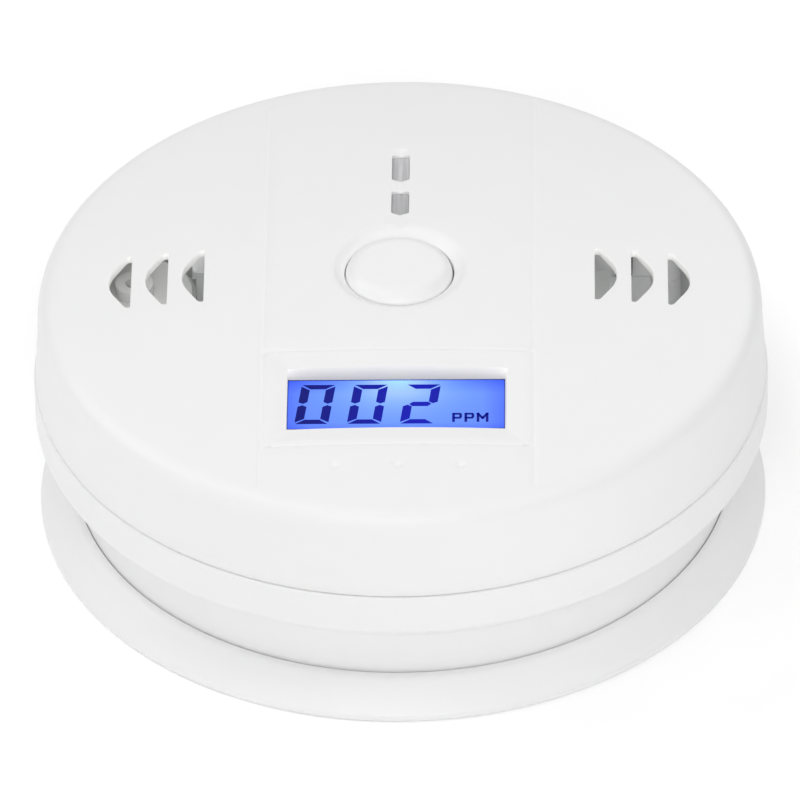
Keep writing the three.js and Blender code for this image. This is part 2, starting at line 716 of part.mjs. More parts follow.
function coSensor() {
  const { at, radius, top, bevel, mouth, mouthDepth } = SENSOR;
  const profile = [
    [0, PART_BASE],
    [radius, PART_BASE],
    [radius, top - bevel],
    [radius - bevel, top],
    [mouth, top],
    [mouth, top - mouthDepth],
    [0, top - mouthDepth],
  ];
  const can = turned(profile, 24).translate([...at, 0]);
  const filterZ = [top - mouthDepth + GAP, top - 0.2];
  const filter = rod(mouth - GAP - 0.1, filterZ, at, 24);
  return [
    toMesh("co_sensor", can, finish(0xc9ccd0, 0.35, 0.9)),
    toMesh("sensor_filter", filter, finish(0xe8e8e4, 0.9)),
  ];
}

function ledLamp(name, y, color) {
  const { radius, collar, collarHeight, shoulderZ } = LED;
  const collarTop = PART_BASE + collarHeight;
  const profile = [
    [0, PART_BASE],
    [radius + collar, PART_BASE],
    [radius + collar, collarTop],
    [radius, collarTop],
    ...arc([0, shoulderZ], radius, radius, [0, 90], 4).slice(0, -1),
    [0, shoulderZ + radius],
  ];
  const solid = turned(profile, SMALL_ROUND).translate([0, y, 0]);
  return toMesh(name, solid, finish(color, 0.3));
}

// A clear bar from just above its lamp to the face, held by a flange under the face.
function lightGuide({ name, y: [y0, y1] }) {
  const { side, end, thickness } = GUIDE_FLANGE;
  const half = GUIDE_WINDOW_WIDTH / 2 - GUIDE_PLAY;
  const flangeTop = domeZ(y1 + 1.5, FACE_WALL) - GAP;
  const flangeZ = [flangeTop - thickness, flangeTop];
  const solid = joined([
    belowDome([-half, half], [y0 + GUIDE_PLAY, y1 - GUIDE_PLAY], GUIDE_BOTTOM, GUIDE_DROP),
    block([-half - side, half + side], [y0 - end, y1 + end], flangeZ),
  ]);
  return toMesh("light_guide_" + name, solid, finish(0xe4e8ea, 0.3));
}

function boosterCoil() {
  const { at, flange, core, rim, slope, height } = COIL;
  const top = PART_BASE + height;
  const profile = [
    [0, PART_BASE],
    [flange, PART_BASE],
    [flange, PART_BASE + rim],
    [core, PART_BASE + rim + slope],
    [core, top - rim - slope],
    [flange, top - rim],
    [flange, top],
    [0, top],
  ];
  return toMesh("booster_coil", turned(profile, SMALL_ROUND).translate([...at, 0]), finish(0x33302e, 0.5));
}

function boardParts() {
  const chip = block(CHIP.x, CHIP.y, [PART_BASE, PART_BASE + CHIP.height]);
  const capacitor = rod(CAPACITOR.radius, [PART_BASE, PART_BASE + CAPACITOR.height], CAPACITOR.at);
  return [
    toMesh("microcontroller", chip, finish(0x1b1b1d, 0.45)),
    toMesh("capacitor", capacitor, finish(0x20242c, 0.35)),
    boosterCoil(),
  ];
}

// ---- Display module ----

// The glass lies on a light box in a tray, and a rubber strip joins its contacts to the board.
function displayModule() {
  const [y0, y1] = GLASS.y;
  const inset = 0.4;
  const lightTop = GLASS.z[0] - GAP;
  const lightX = [-GLASS.x + inset, GLASS.x - inset];
  const lightBox = block(lightX, [y0 + inset, y1 - 3], [LIGHT_BOX_BOTTOM, lightTop]);
  const stripX = [1 - GLASS.x, GLASS.x - 1];
  const stripY = [y1 - 0.5 - CONTACT_STRIP_WIDTH, y1 - 0.5];
  const strip = block(stripX, stripY, [PART_BASE, lightTop]);
  const outer = DISPLAY_WALL;
  const trayY = [y0 - outer, y1 + outer];
  const tray = block([-GLASS.x - outer, GLASS.x + outer], trayY, [PART_BASE, TRAY_TOP]);
  const well = block(
    [-GLASS.x - GAP, GLASS.x + GAP],
    [y0 - GAP, y1 + GAP],
    [LIGHT_BOX_BOTTOM - GAP, TRAY_TOP + 1],
  );
  const stripSlot = block(
    [stripX[0] - GAP, stripX[1] + GAP],
    [stripY[0] - GAP, stripY[1] + GAP],
    [PART_BASE - 1, TRAY_TOP],
  );
  return [
    toMesh("lcd_glass", block([-GLASS.x, GLASS.x], GLASS.y, GLASS.z), finish(0x5f86ff, 0.15)),
    toMesh("lcd_backlight", lightBox, finish(0xdfe8ff, 0.3)),
    toMesh("lcd_contact_strip", strip, finish(0xd8a8b0, 0.7)),
    toMesh("lcd_frame", cut(tray, [well, stripSlot]), finish(0xececea, 0.5)),
  ];
}

// ---- Sounder ----

function sounderLeads() {
  const { x, y, radius } = SOUNDER;
  const landing = PART_BASE + SOUNDER_LEAD_RADIUS;
  return [3.9, 5.6].map((leadY, i) => {
    const caseEdge = x + Math.sqrt(radius ** 2 - (leadY - SOUNDER_LEAD_RADIUS - y) ** 2);
    const route = [
      [caseEdge + GAP + 0.2, leadY, landing - 1.2],
      [-BOARD.x - 1.8, leadY - 0.2, landing - 0.4],
      [-BOARD.x - 0.3, leadY - 0.7, landing + 0.4],
      [-BOARD.x + 2, leadY - 1.4, landing],
    ];
    const colour = i === 0 ? 0x181818 : 0xc02222;
    return toMesh("sounder_lead_" + (i + 1), wire(route, SOUNDER_LEAD_RADIUS, 9), finish(colour, 0.5));
  });
}

function sounder() {
  const { x, y, radius, bottom, top } = SOUNDER;
  const nozzle = SOUNDER_NOZZLE;
  const shelf = bottom + SOUNDER_BASE + GAP;
  const inside = radius - SOUNDER_WALL;
  const profile = [
    [inside, shelf],
    [radius, shelf],
    [radius, top - 0.6],
    [radius - 0.6, top],
    [nozzle.radius, top],
    [nozzle.radius, nozzle.top],
    [nozzle.hole, nozzle.top],
    [nozzle.hole, top - SOUNDER_WALL],
    [inside, top - SOUNDER_WALL],
    [inside, shelf],
  ];
  const caseSolid = turned(profile, 28).translate([x, y, 0]);
  const discZ = [shelf + PIEZO.above, shelf + PIEZO.above + PIEZO.thickness];
  const disc = rod(PIEZO.radius, discZ, [x, y], 24);
  const baseSolid = rod(radius, [bottom, bottom + SOUNDER_BASE], [x, y], 28);
  return [
    toMesh("sounder_case", caseSolid, finish(0xf2f2ef, 0.5)),
    toMesh("piezo_disc", disc, finish(0xc9a24c, 0.35, 0.9)),
    toMesh("sounder_base", baseSolid, finish(0xe6e6e2, 0.6)),
    ...sounderLeads(),
  ];
}

// ---- Batteries and contacts ----

function battery({ y, facing }, index) {
  const edge = CELL_RADIUS - 0.7;
  const shoulder = CELL_LENGTH - CELL_CAP_HEIGHT;
  const profile = [
    [0, 0],
    [edge, 0],
    [CELL_RADIUS, 0.6],
    [CELL_RADIUS, shoulder - 0.6],
    [edge, shoulder],
    [CELL_CAP_RADIUS, shoulder],
    [CELL_CAP_RADIUS, CELL_LENGTH],
    [0, CELL_LENGTH],
  ];
  const mesh = toMesh("battery_" + (index + 1), turned(profile, 20), finish(0x2c3036, 0.35, 0.4));
  mesh.rotation.y = (facing * Math.PI) / 2;
  mesh.position.set(facing * (CELL_END - CELL_LENGTH), y, CELL_Z);
  return mesh;
}

// A conical spring between a cell's flat end and its contact plate.
function spring({ y, facing }, index) {
  const steps = 22;
  const cellFace = CELL_LENGTH - CELL_END + GAP + SPRING.wire;
  const plateFace = CONTACT_X - GAP - SPRING.wire;
  const points = Array.from({ length: steps + 1 }, (_, i) => {
    const share = i / steps;
    const angle = 2 * Math.PI * SPRING.turns * share;
    const radius = SPRING.wide + (SPRING.narrow - SPRING.wide) * share;
    const x = plateFace + (cellFace - plateFace) * share;
    return [-facing * x, y + radius * Math.cos(angle), CELL_Z + radius * Math.sin(angle)];
  });
  return toMesh("battery_spring_" + (index + 1), wire(points, SPRING.wire, 28), finish(0xc8c8cc, 0.3, 1));
}

function contactPlate(name, side, [y0, y1], tabY) {
  const near = side > 0 ? CONTACT_X : -CONTACT_X - CONTACT_THICKNESS;
  const x = [near, near + CONTACT_THICKNESS];
  const pieces = [block(x, [y0, y1], CONTACT_Z)];
  if (tabY !== undefined) {
    const tab = [tabY - TERMINAL_TAB_HALF, tabY + TERMINAL_TAB_HALF];
    pieces.push(block(x, tab, [CONTACT_Z[1] - 1, TERMINAL_TAB_TOP]));
  }
  return toMesh(name, joined(pieces), finish(0xd2d2d4, 0.25, 1));
}

function contacts() {
  const [top, middle, bottom] = CELL_ROWS.map(({ y }) => y);
  const half = CONTACT_HALF_WIDTH;
  return [
    contactPlate("contact_negative", -1, [top - half, top + half], TERMINAL_TAB_Y),
    contactPlate("contact_bridge_right", 1, [middle - half + 0.6, top + half]),
    contactPlate("contact_bridge_left", -1, [bottom - half, middle + half - 0.6]),
    contactPlate("contact_positive", 1, [bottom - half, bottom + half], -TERMINAL_TAB_Y),
  ];
}

// Each lead runs from its terminal tab to just under the board. The side is that of the tab along X.
function batteryLead(name, side, colour) {
  const start = CONTACT_X - GAP - BATTERY_LEAD_RADIUS;
  const route = [
    [start, -TERMINAL_TAB_Y, TERMINAL_TAB_TOP - 0.9],
    [start - 1.4, -TERMINAL_TAB_Y + 0.6, TERMINAL_TAB_TOP],
    [start - 4, -TERMINAL_TAB_Y + 2.4, TERMINAL_TAB_TOP + 0.6],
  ].map(([x, y, z]) => [side * x, side * y, z]);
  return toMesh(name, wire(route, BATTERY_LEAD_RADIUS, 8), finish(colour, 0.5));
}

// ---- Fasteners and padding ----

function screw(name, [x, y], headZ, length, headRadius, up) {
  const profile = [
    [0, 0],
    [headRadius, 0],
    [headRadius, SCREW_HEAD * 0.6],
    [headRadius * 0.7, SCREW_HEAD],
    [0, SCREW_HEAD],
  ];
  const shank = rod(SHANK_RADIUS, [-length, 0.2], [0, 0], 10);
  const solid = turned(profile, 14).add(shank);
  const mesh = toMesh(name, solid, finish(0xb8bac0, 0.3, 1));
  if (!up) mesh.rotation.x = Math.PI;
  mesh.position.set(x, y, headZ);
  return mesh;
}

function housingScrews() {
  const headZ = HEAD_POCKET_TOP - GAP;
  const headRadius = HEAD_POCKET_RADIUS - GAP;
  return POST_ANGLES.map((angle, i) => {
    const at = onCircle(POST_CIRCLE, angle);
    return screw("housing_screw_" + (i + 1), at, headZ, SHANK_TOP - headZ, headRadius, false);
  });
}

function boardScrews() {
  return BOARD_SCREWS.map((at, i) => {
    const name = "board_screw_" + (i + 1);
    return screw(name, at, PART_BASE, BOARD_SCREW_LENGTH, BOARD_SCREW_HEAD_RADIUS, true);
  });
}

// A strip of foam on the cover's rib keeps the inside from rattling.
function foamPad() {
  const top = POST_RIB_Y[0] - GAP;
  return toMesh("foam_pad", block(FOAM.x, [top - FOAM.thickness, top], FOAM.z), finish(0x141414, 0.95));
}

// ---- Assembly ----

function detector() {
  const group = new THREE.Group();
  group.add(rearHousing(), frontCover(), testButton(), switchBody(), switchPlunger());
  group.add(circuitBoard(), ...coSensor(), ...boardParts(), ...displayModule(), ...sounder());
  group.add(ledLamp("alarm_led", LAMP_Y.alarm, 0xff5a4a), ledLamp("power_led", LAMP_Y.power, 0x63d66b));
  group.add(...GUIDE_WINDOWS.map(lightGuide));
  group.add(...CELL_ROWS.map(battery), ...CELL_ROWS.map(spring), ...contacts());
  group.add(batteryLead("battery_lead_positive", 1, 0xc02222));
  group.add(batteryLead("battery_lead_negative", -1, 0x181818));
  group.add(...housingScrews(), ...boardScrews(), foamPad());
  return group;
}

const root = new THREE.Group();
root.add(mountingPlate(), detector());

export default root;
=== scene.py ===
import math

import bmesh
import bpy
import numpy as np
from mathutils import Matrix, Vector
from mathutils.geometry import delaunay_2d_cdt


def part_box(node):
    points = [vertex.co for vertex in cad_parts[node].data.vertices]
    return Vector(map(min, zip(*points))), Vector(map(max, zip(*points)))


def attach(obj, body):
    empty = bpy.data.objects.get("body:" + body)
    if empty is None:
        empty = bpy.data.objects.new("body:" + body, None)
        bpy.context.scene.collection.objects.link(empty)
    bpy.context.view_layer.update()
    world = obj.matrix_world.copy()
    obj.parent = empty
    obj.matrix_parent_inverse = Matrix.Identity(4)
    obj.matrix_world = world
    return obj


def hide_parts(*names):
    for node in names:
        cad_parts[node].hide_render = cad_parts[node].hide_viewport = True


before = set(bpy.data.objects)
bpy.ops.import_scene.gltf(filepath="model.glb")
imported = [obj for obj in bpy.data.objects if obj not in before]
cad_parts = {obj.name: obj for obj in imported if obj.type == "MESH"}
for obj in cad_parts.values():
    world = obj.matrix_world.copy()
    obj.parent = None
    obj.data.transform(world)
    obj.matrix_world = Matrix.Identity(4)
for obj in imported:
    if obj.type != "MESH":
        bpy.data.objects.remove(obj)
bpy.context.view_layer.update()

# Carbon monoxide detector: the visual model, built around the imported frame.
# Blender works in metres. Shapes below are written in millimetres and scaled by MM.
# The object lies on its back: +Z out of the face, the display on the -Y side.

MM = 0.001

# ---- Dimensions of the two shells and the plate ----

SIDES = 240  # steps round the large turned surfaces
CELL = 0.06  # points of the face nearer than about this are taken as one

FACE_TOP = 38.0
FACE_DOME = 325.0
FACE_WALL = 2.2
COVER_BOTTOM = 21.59
HOUSING_TOP = 21.48  # the parting line is the hairline between the two
COVER_RADIUS = 49.75
COVER_RIM_RADIUS = 49.2
COVER_WALL = 1.85
RIM_IN, RIM_DOWN, RIM_POWER = 3.0, 3.4, 2.75  # a rounding a little fuller than a circle's
INNER_EDGE = 1.2

GROOVE_X = 18.25
GROOVE_HALF = 0.45
GROOVE_DEPTH = 0.16
GROOVE_Y = (-43.5, 44.5)
CROSS_Y = (-16.4, -35.0)
CROSS_HALF = 0.38
CROSS_DEPTH = 0.16

WINDOW_X = 14.63
WINDOW_LEFT = -14.83
WINDOW_FOOT_RIGHT = 14.35  # the right wall leans in towards the glass
WINDOW_Y = (-31.5, -19.6)
WINDOW_FRAME = 1.2  # width of the wall that reaches down to the glass
BEZEL_X = 16.7
BEZEL_Y = (-34.4, -17.1)
BEZEL_DROP = 0.55

BUTTON_Y = 1.25
DISH_RADIUS = 9.1
BUTTON_HOLE = 7.44
DISH_DEPTH = 1.2
DISH_SOFT = 0.25

GUIDE_Y = ((21.3, 27.5), (13.2, 18.5))
GUIDE_HALF = 1.2
CHANNEL_Y = (7.6, 29.4)
CHANNEL_HALF = 1.0
CHANNEL_DEPTH = 0.36

VENT_BASES = (26.46, 31.42, 36.38)
VENT_Y = 0.6
VENT_LENGTH = 11.3
VENT_DEPTH = 3.0
VENT_ROUNDING = 0.1
VENT_SKIN = 1.1  # the cover is thin round the vents
VENT_RECESS = ((25.2, 40.6), (-6.3, 7.5))

DIMPLE_X = (-8.4, 0.0, 8.4)
DIMPLE_Y = -38.9
DIMPLE_RADIUS = 0.85
DIMPLE_DEPTH = 0.3

GLASS_X, GLASS_Y, GLASS_TOP = 16.0, (-33.4, -17.8), 34.6

# Screw posts, ribs and the battery bay inside the shells
POST_CIRCLE = 41.6
POST_ANGLES = (29.6, 150.4, 270.0)
POST_RADIUS = 2.2
SCREW_HOLE = 1.3
INSIDE_TOP = FACE_TOP - 3.4
RIB_Y = (19.8, 21.3)
BAY_X, BAY_Y = 27.6, 22.3
BAY_WALL = 1.3
BAY_TOP, BAY_ROOF = 18.2, 19.6
BOARD_POSTS = [(x, y) for x in (-22.3, 22.3) for y in (20, -14)]

# The mounting plate's hooks, and the key slots that they hold in
HOOK_ANGLES = (90, 210, 330)
HOOK_CIRCLE = 40.2
TWIST = 15


# ---- Mesh helpers ----


def linked(name, data):
    """A new object in the scene for a mesh, a lamp or a camera."""
    obj = bpy.data.objects.new(name, data)
    bpy.context.scene.collection.objects.link(obj)
    return obj


def make_object(name, verts, faces, scale=MM):
    """A new object from vertices in millimetres."""
    mesh = bpy.data.meshes.new(name)
    mesh.from_pydata([tuple(c * scale for c in v) for v in verts], [], faces)
    mesh.validate()
    return linked(name, mesh)


def outward(obj):
    """Turns every face to point out of its solid."""
    bm = bmesh.new()
    bm.from_mesh(obj.data)
    bmesh.ops.recalc_face_normals(bm, faces=bm.faces)
    bm.to_mesh(obj.data)
    bm.free()
    return obj


def smooth(obj, angle=32):
    """Smooth shading with edges sharper than this many degrees kept sharp."""
    mesh = obj.data
    mesh.polygons.foreach_set("use_smooth", [True] * len(mesh.polygons))
    mesh.set_sharp_from_angle(angle=math.radians(angle))
    return obj


def lathe(profile, sides=SIDES, centre=(0.0, 0.0)):
    """A profile of (radius, height) turned about Z. It runs counter-clockwise."""
    verts, rings, faces = [], [], []
    closed = profile[0] == profile[-1]
    for r, z in profile[:-1] if closed else profile:
        count = 1 if r < 1e-6 else sides
        rings.append(range(len(verts), len(verts) + count))
        for i in range(count):
            a = 2 * math.pi * i / sides
            verts.append((centre[0] + r * math.cos(a), centre[1] + r * math.sin(a), z))
    if closed:
        rings.append(rings[0])
    for low, high in zip(rings, rings[1:]):
        if len(low) == len(high) == 1:
            continue
        for i in range(sides):
            j = (i + 1) % sides
            quad = [low[i % len(low)], low[j % len(low)], high[j % len(high)], high[i % len(high)]]
            faces.append(list(dict.fromkeys(quad)))
    return verts, faces


def prism(outline, z0, z1):
    """A straight prism over a counter-clockwise outline."""
    n = len(outline)
    verts = [(x, y, z0) for x, y in outline] + [(x, y, z1) for x, y in outline]
    faces = [list(range(n))[::-1], list(range(n, 2 * n))]
    faces += [[i, (i + 1) % n, n + (i + 1) % n, n + i] for i in range(n)]
    return verts, faces


def block(x, y, z):
    return prism([(x[0], y[0]), (x[1], y[0]), (x[1], y[1]), (x[0], y[1])], z[0], z[1])


def rod(radius, z, at=(0.0, 0.0), sides=48):
    return lathe([(0, z[0]), (radius, z[0]), (radius, z[1]), (0, z[1])], sides, at)


def arc(cx, cy, rx, ry, start, end, steps):
    """Points of an elliptical arc between two angles in degrees."""
    angles = [math.radians(start + (end - start) * i / steps) for i in range(steps + 1)]
    return [(cx + rx * math.cos(a), cy + ry * math.sin(a)) for a in angles]


def sector(radii, angles, z, steps=10):
    start, end = angles
    outline = arc(0, 0, radii[1], radii[1], start, end, steps)
    outline += arc(0, 0, radii[0], radii[0], end, start, steps)
    return prism(outline, z[0], z[1])


def slot_outline(x, width, length, steps=20):
    """A slot with round ends, its long side along Y."""
    half = (length - width) / 2
    top = arc(x, half, width / 2, width / 2, 0, 180, steps)
    return top + arc(x, -half, width / 2, width / 2, 180, 360, steps)


def combined(base, steps):
    """Applies exact unions and cuts, each ("UNION" or "DIFFERENCE", (verts, faces)), to an object."""
    helpers = []
    for operation, (verts, faces) in steps:
        helper = outward(make_object("helper", verts, faces))
        modifier = base.modifiers.new("cut", "BOOLEAN")
        modifier.operation = operation
        modifier.solver = "MANIFOLD"
        modifier.object = helper
        helpers.append(helper)
    graph = bpy.context.evaluated_depsgraph_get()
    mesh = bpy.data.meshes.new_from_object(base.evaluated_get(graph))
    base.modifiers.clear()
    base.data = mesh
    for helper in helpers:
        bpy.data.objects.remove(helper)
    return base


def polar(radius, degrees):
    a = math.radians(degrees)
    return radius * math.cos(a), radius * math.sin(a)


# ---- The face as a height over the plan ----


def dome(radius, drop=0.0):
    """Height of the domed face, or of a surface that runs a drop below it."""
    r = FACE_DOME - drop
    return FACE_TOP - FACE_DOME + math.sqrt(r * r - radius * radius)


def soft_ramp(u, w):
    """0 below -w, u above w, and a smooth bend between."""
    if u <= -w:
        return 0.0
    if u >= w:
        return u
    return (u + w) ** 2 / (4 * w)


def hump(distance, half):
    """1 on a groove's middle line, 0 from half its width on."""
    if distance >= half:
        return 0.0
    return 0.5 + 0.5 * math.cos(math.pi * distance / half)


def fade(value, start, end):
    """0 at start and 1 at end, with a smooth step between."""
    t = min(1.0, max(0.0, (value - start) / (end - start)))
    return t * t * (3 - 2 * t)


def bezel_share(x, y):
    """0 on the window's edge, 1 on the outer edge of its sloping frame."""
    side = (abs(x) - WINDOW_X) / (BEZEL_X - WINDOW_X)
    top = (y - WINDOW_Y[1]) / (BEZEL_Y[1] - WINDOW_Y[1])
    bottom = (WINDOW_Y[0] - y) / (WINDOW_Y[0] - BEZEL_Y[0])
    return max(side, top, bottom)


def rim_drop(share):
    """How far the rounding at the rim has come down, by the share of its width."""
    return RIM_DOWN * (1 - (1 - share**RIM_POWER) ** (1 / RIM_POWER))


def face_height(x, y):
    """Height of the outer face over a point of the plan."""
    r = math.hypot(x, y)
    base = dome(r) - rim_drop(min(1.0, max(0.0, r - COVER_RIM_RADIUS + RIM_IN) / RIM_IN))
    from_button = math.hypot(x, y - BUTTON_Y)
    drops = [0.0]
    ends = fade(y, GROOVE_Y[0], GROOVE_Y[0] + 1.5) * fade(-y, -GROOVE_Y[1], 1.5 - GROOVE_Y[1])
    drops.append(GROOVE_DEPTH * ends * hump(abs(abs(x) - GROOVE_X), GROOVE_HALF))
    if abs(x) < GROOVE_X:
        drops += [CROSS_DEPTH * hump(abs(y - line), CROSS_HALF) for line in CROSS_Y]
    drops.append(BEZEL_DROP * soft_ramp(1 - bezel_share(x, y), 0.09))
    dish = (DISH_RADIUS - from_button) / (DISH_RADIUS - BUTTON_HOLE)
    drops.append(DISH_DEPTH * soft_ramp(dish, DISH_SOFT))
    if CHANNEL_Y[0] < y < CHANNEL_Y[1]:
        end = fade(-y, -CHANNEL_Y[1], 1.0 - CHANNEL_Y[1])
        drops.append(CHANNEL_DEPTH * end * soft_ramp(1 - abs(x) / CHANNEL_HALF, 0.25))
    for centre in DIMPLE_X:
        away = math.hypot(x - centre, y - DIMPLE_Y)
        drops.append(DIMPLE_DEPTH * hump(away, DIMPLE_RADIUS * 1.25))
    return base - max(drops)


def inside_height(x, y):
    """Height of the face's underside: thin round the vents, down to the glass round the window."""
    beyond = max(abs(x) - WINDOW_X, WINDOW_Y[0] - y, y - WINDOW_Y[1])
    if beyond < WINDOW_FRAME:
        return GLASS_TOP + 0.05
    r = math.hypot(x, y)
    (x0, x1), (y0, y1) = VENT_RECESS
    inside = min(abs(x) - x0, x1 - abs(x), y - y0, y1 - y)
    return dome(r, FACE_WALL) + (FACE_WALL - VENT_SKIN) * fade(inside, -0.4, 0.0)


# ---- Outlines in the plan ----


def spaced(start, end, step):
    count = max(1, round(abs(end - start) / step))
    return [start + (end - start) * i / count for i in range(count + 1)]


def resampled(corners, step):
    """A closed line of corners with extra points so that none are further apart than step."""
    points = []
    for (x0, y0), (x1, y1) in zip(corners, corners[1:] + corners[:1]):
        count = max(1, math.ceil(math.dist((x0, y0), (x1, y1)) / step))
        points += [(x0 + (x1 - x0) * i / count, y0 + (y1 - y0) * i / count) for i in range(count)]
    return points


def quadratic(a, b, c, steps):
    """A bend from a to c that aims at b, without its first point."""
    points = []
    for i in range(1, steps + 1):
        t = i / steps
        weights = ((1 - t) ** 2, 2 * t * (1 - t), t * t)
        points.append(tuple(sum(w * v for w, v in zip(weights, axis)) for axis in zip(a, b, c)))
    return points


def vent_outline(base, side):
    """A tapered slot: straight on the inner side, narrowing to a rounded point."""
    half, tip = VENT_LENGTH / 2, VENT_DEPTH
    shoulder, flank, bend = (0.84, half - 0.35), (2.18, 3.0), 1.59
    upper = [(0.0, half - 0.3)]
    upper += quadratic(upper[-1], (0.0, half), (0.3, half), 5)
    upper += quadratic(upper[-1], (0.62, half), shoulder, 5)
    upper += [flank]
    upper += quadratic(flank, (tip, bend), (tip, 0.0), 10)
    lower = [(x, -y) for x, y in upper[-2::-1]]
    outline = [(side * (base + x), VENT_Y + y) for x, y in upper + lower]
    return outline if side < 0 else outline[::-1]


def grown(outline, distance):
    """A counter-clockwise outline moved outward."""
    points = []
    n = len(outline)
    for i in range(n):
        before, here, after = outline[i - 1], outline[i], outline[(i + 1) % n]
        d1 = Vector((here[0] - before[0], here[1] - before[1])).normalized()
        d2 = Vector((after[0] - here[0], after[1] - here[1])).normalized()
        normal = Vector((d1.y + d2.y, -d1.x - d2.x))
        normal.normalize()
        reach = distance / max(0.5, normal.dot(Vector((d1.y, -d1.x))))
        points.append((here[0] + normal.x * reach, here[1] + normal.y * reach))
    return points


def rounded_rectangle(x, y, radius, steps=5):
    corners = [
        (x[1] - radius, y[1] - radius, 0),
        (x[0] + radius, y[1] - radius, 90),
        (x[0] + radius, y[0] + radius, 180),
        (x[1] - radius, y[0] + radius, 270),
    ]
    return [p for cx, cy, a in corners for p in arc(cx, cy, radius, radius, a, a + 90, steps)]


def contains(outline, points):
    """Which of the points, as an array, lie inside the outline."""
    x, y = points[:, 0], points[:, 1]
    inside = np.zeros(len(points), bool)
    for (x0, y0), (x1, y1) in zip(outline, outline[1:] + outline[:1]):
        crosses = (y0 > y) != (y1 > y)
        if y0 != y1:
            inside ^= crosses & (x < (x1 - x0) * (y - y0) / (y1 - y0) + x0)
    return inside


def hole_outlines():
    """Each hole through the face: its outline and the rounding of its edge."""
    holes = []
    for side in (1, -1):
        for base in VENT_BASES:
            holes.append((resampled(vent_outline(base, side), 0.5), VENT_ROUNDING))
    for ends in GUIDE_Y:
        corners = rounded_rectangle((-GUIDE_HALF, GUIDE_HALF), ends, 0.3)
        holes.append((resampled(corners, 0.3), 0.06))
    (x0, x1), (y0, y1) = (WINDOW_LEFT, WINDOW_X), WINDOW_Y
    holes.append((resampled([(x1, y1), (x0, y1), (x0, y0), (x1, y0)], 0.9), 0.0))
    holes.append((arc(0, BUTTON_Y, BUTTON_HOLE, BUTTON_HOLE, 0, 360, 120)[:-1], 0.12))
    return holes


HOLES = hole_outlines()
WINDOW_HOLE = 2 * len(VENT_BASES) + len(GUIDE_Y)


class Plan:
    """Points over the plan, each with an extra drop, triangulated round the holes."""

    def __init__(self, rim_radius, holes):
        self.points, self.drops, self.loops, self.used = [], [], [], set()
        self.holes = holes
        self.add_loop(arc(0, 0, rim_radius, rim_radius, 0, 360, SIDES)[:-1], 0.0)
        self.rim_radius = rim_radius
        for outline, drop in holes:
            self.add_loop(outline, drop)

    def add(self, points, drop=0.0, cell=CELL):
        """Adds the points that have no other point in the cells next to their own."""
        for x, y in points:
            key = (round(x / cell), round(y / cell))
            if key in self.used:
                continue
            for dx in (-1, 0, 1):
                for dy in (-1, 0, 1):
                    self.used.add((key[0] + dx, key[1] + dy))
            self.points.append((x, y))
            self.drops.append(drop)

    def add_loop(self, points, drop):
        """Adds a closed line that the triangles keep as their edge."""
        start = len(self.points)
        for x, y in points:
            self.used.add((round(x / CELL), round(y / CELL)))
            self.points.append((x, y))
            self.drops.append(drop)
        self.loops.append(list(range(start, len(self.points))))

    def fill(self, step, clearance):
        """Adds an even grid wherever no point is near."""
        taken = np.array(self.points)
        reach = self.rim_radius - step * 0.6
        rows = []
        for row, y in enumerate(np.arange(-reach, reach, step * 0.87)):
            shift = 0.5 * step * (row % 2)
            rows += [(x + shift, y) for x in np.arange(-reach, reach, step)]
        grid = np.array([p for p in rows if math.hypot(*p) < reach])
        clear = np.array([np.min(np.sum((taken - p) ** 2, axis=1)) > clearance**2 for p in grid])
        for x, y in grid[clear]:
            self.points.append((float(x), float(y)))
            self.drops.append(0.0)

    def triangulated(self, height):
        """Vertices, triangles and where each loop's points went."""
        array = np.array(self.points)
        kept = np.ones(len(array), bool)
        on_loop = np.zeros(len(array), bool)
        for loop in self.loops:
            on_loop[loop] = True
        for outline, _ in self.holes:
            kept &= ~contains(outline, array)
        kept &= np.hypot(array[:, 0], array[:, 1]) < self.rim_radius - 0.02
        kept |= on_loop
        index = {old: new for new, old in enumerate(np.flatnonzero(kept))}
        edges = [(index[a], index[b]) for lp in self.loops for a, b in zip(lp, lp[1:] + lp[:1])]
        chosen = [Vector(self.points[i]) for i in np.flatnonzero(kept)]
        drops = [self.drops[i] for i in np.flatnonzero(kept)]
        flat, _, faces, origins, _, _ = delaunay_2d_cdt(chosen, edges, [], 0, 1e-5)
        went = {o: new for new, group in enumerate(origins) for o in group}
        verts = []
        for p, group in zip(flat, origins):
            drop = max([drops[o] for o in group], default=0.0)
            verts.append((p.x, p.y, height(p.x, p.y) - drop))
        corners = [[flat[i] for i in face] for face in faces]
        middles = np.array([[sum(p.x for p in f) / 3, sum(p.y for p in f) / 3] for f in corners])
        open_area = np.zeros(len(faces), bool)
        for outline, _ in self.holes:
            open_area |= contains(outline, middles)
        faces = [list(f) for f, gone in zip(faces, open_area) if not gone]
        loops = [[went[index[i]] for i in loop] for loop in self.loops]
        return verts, faces, loops


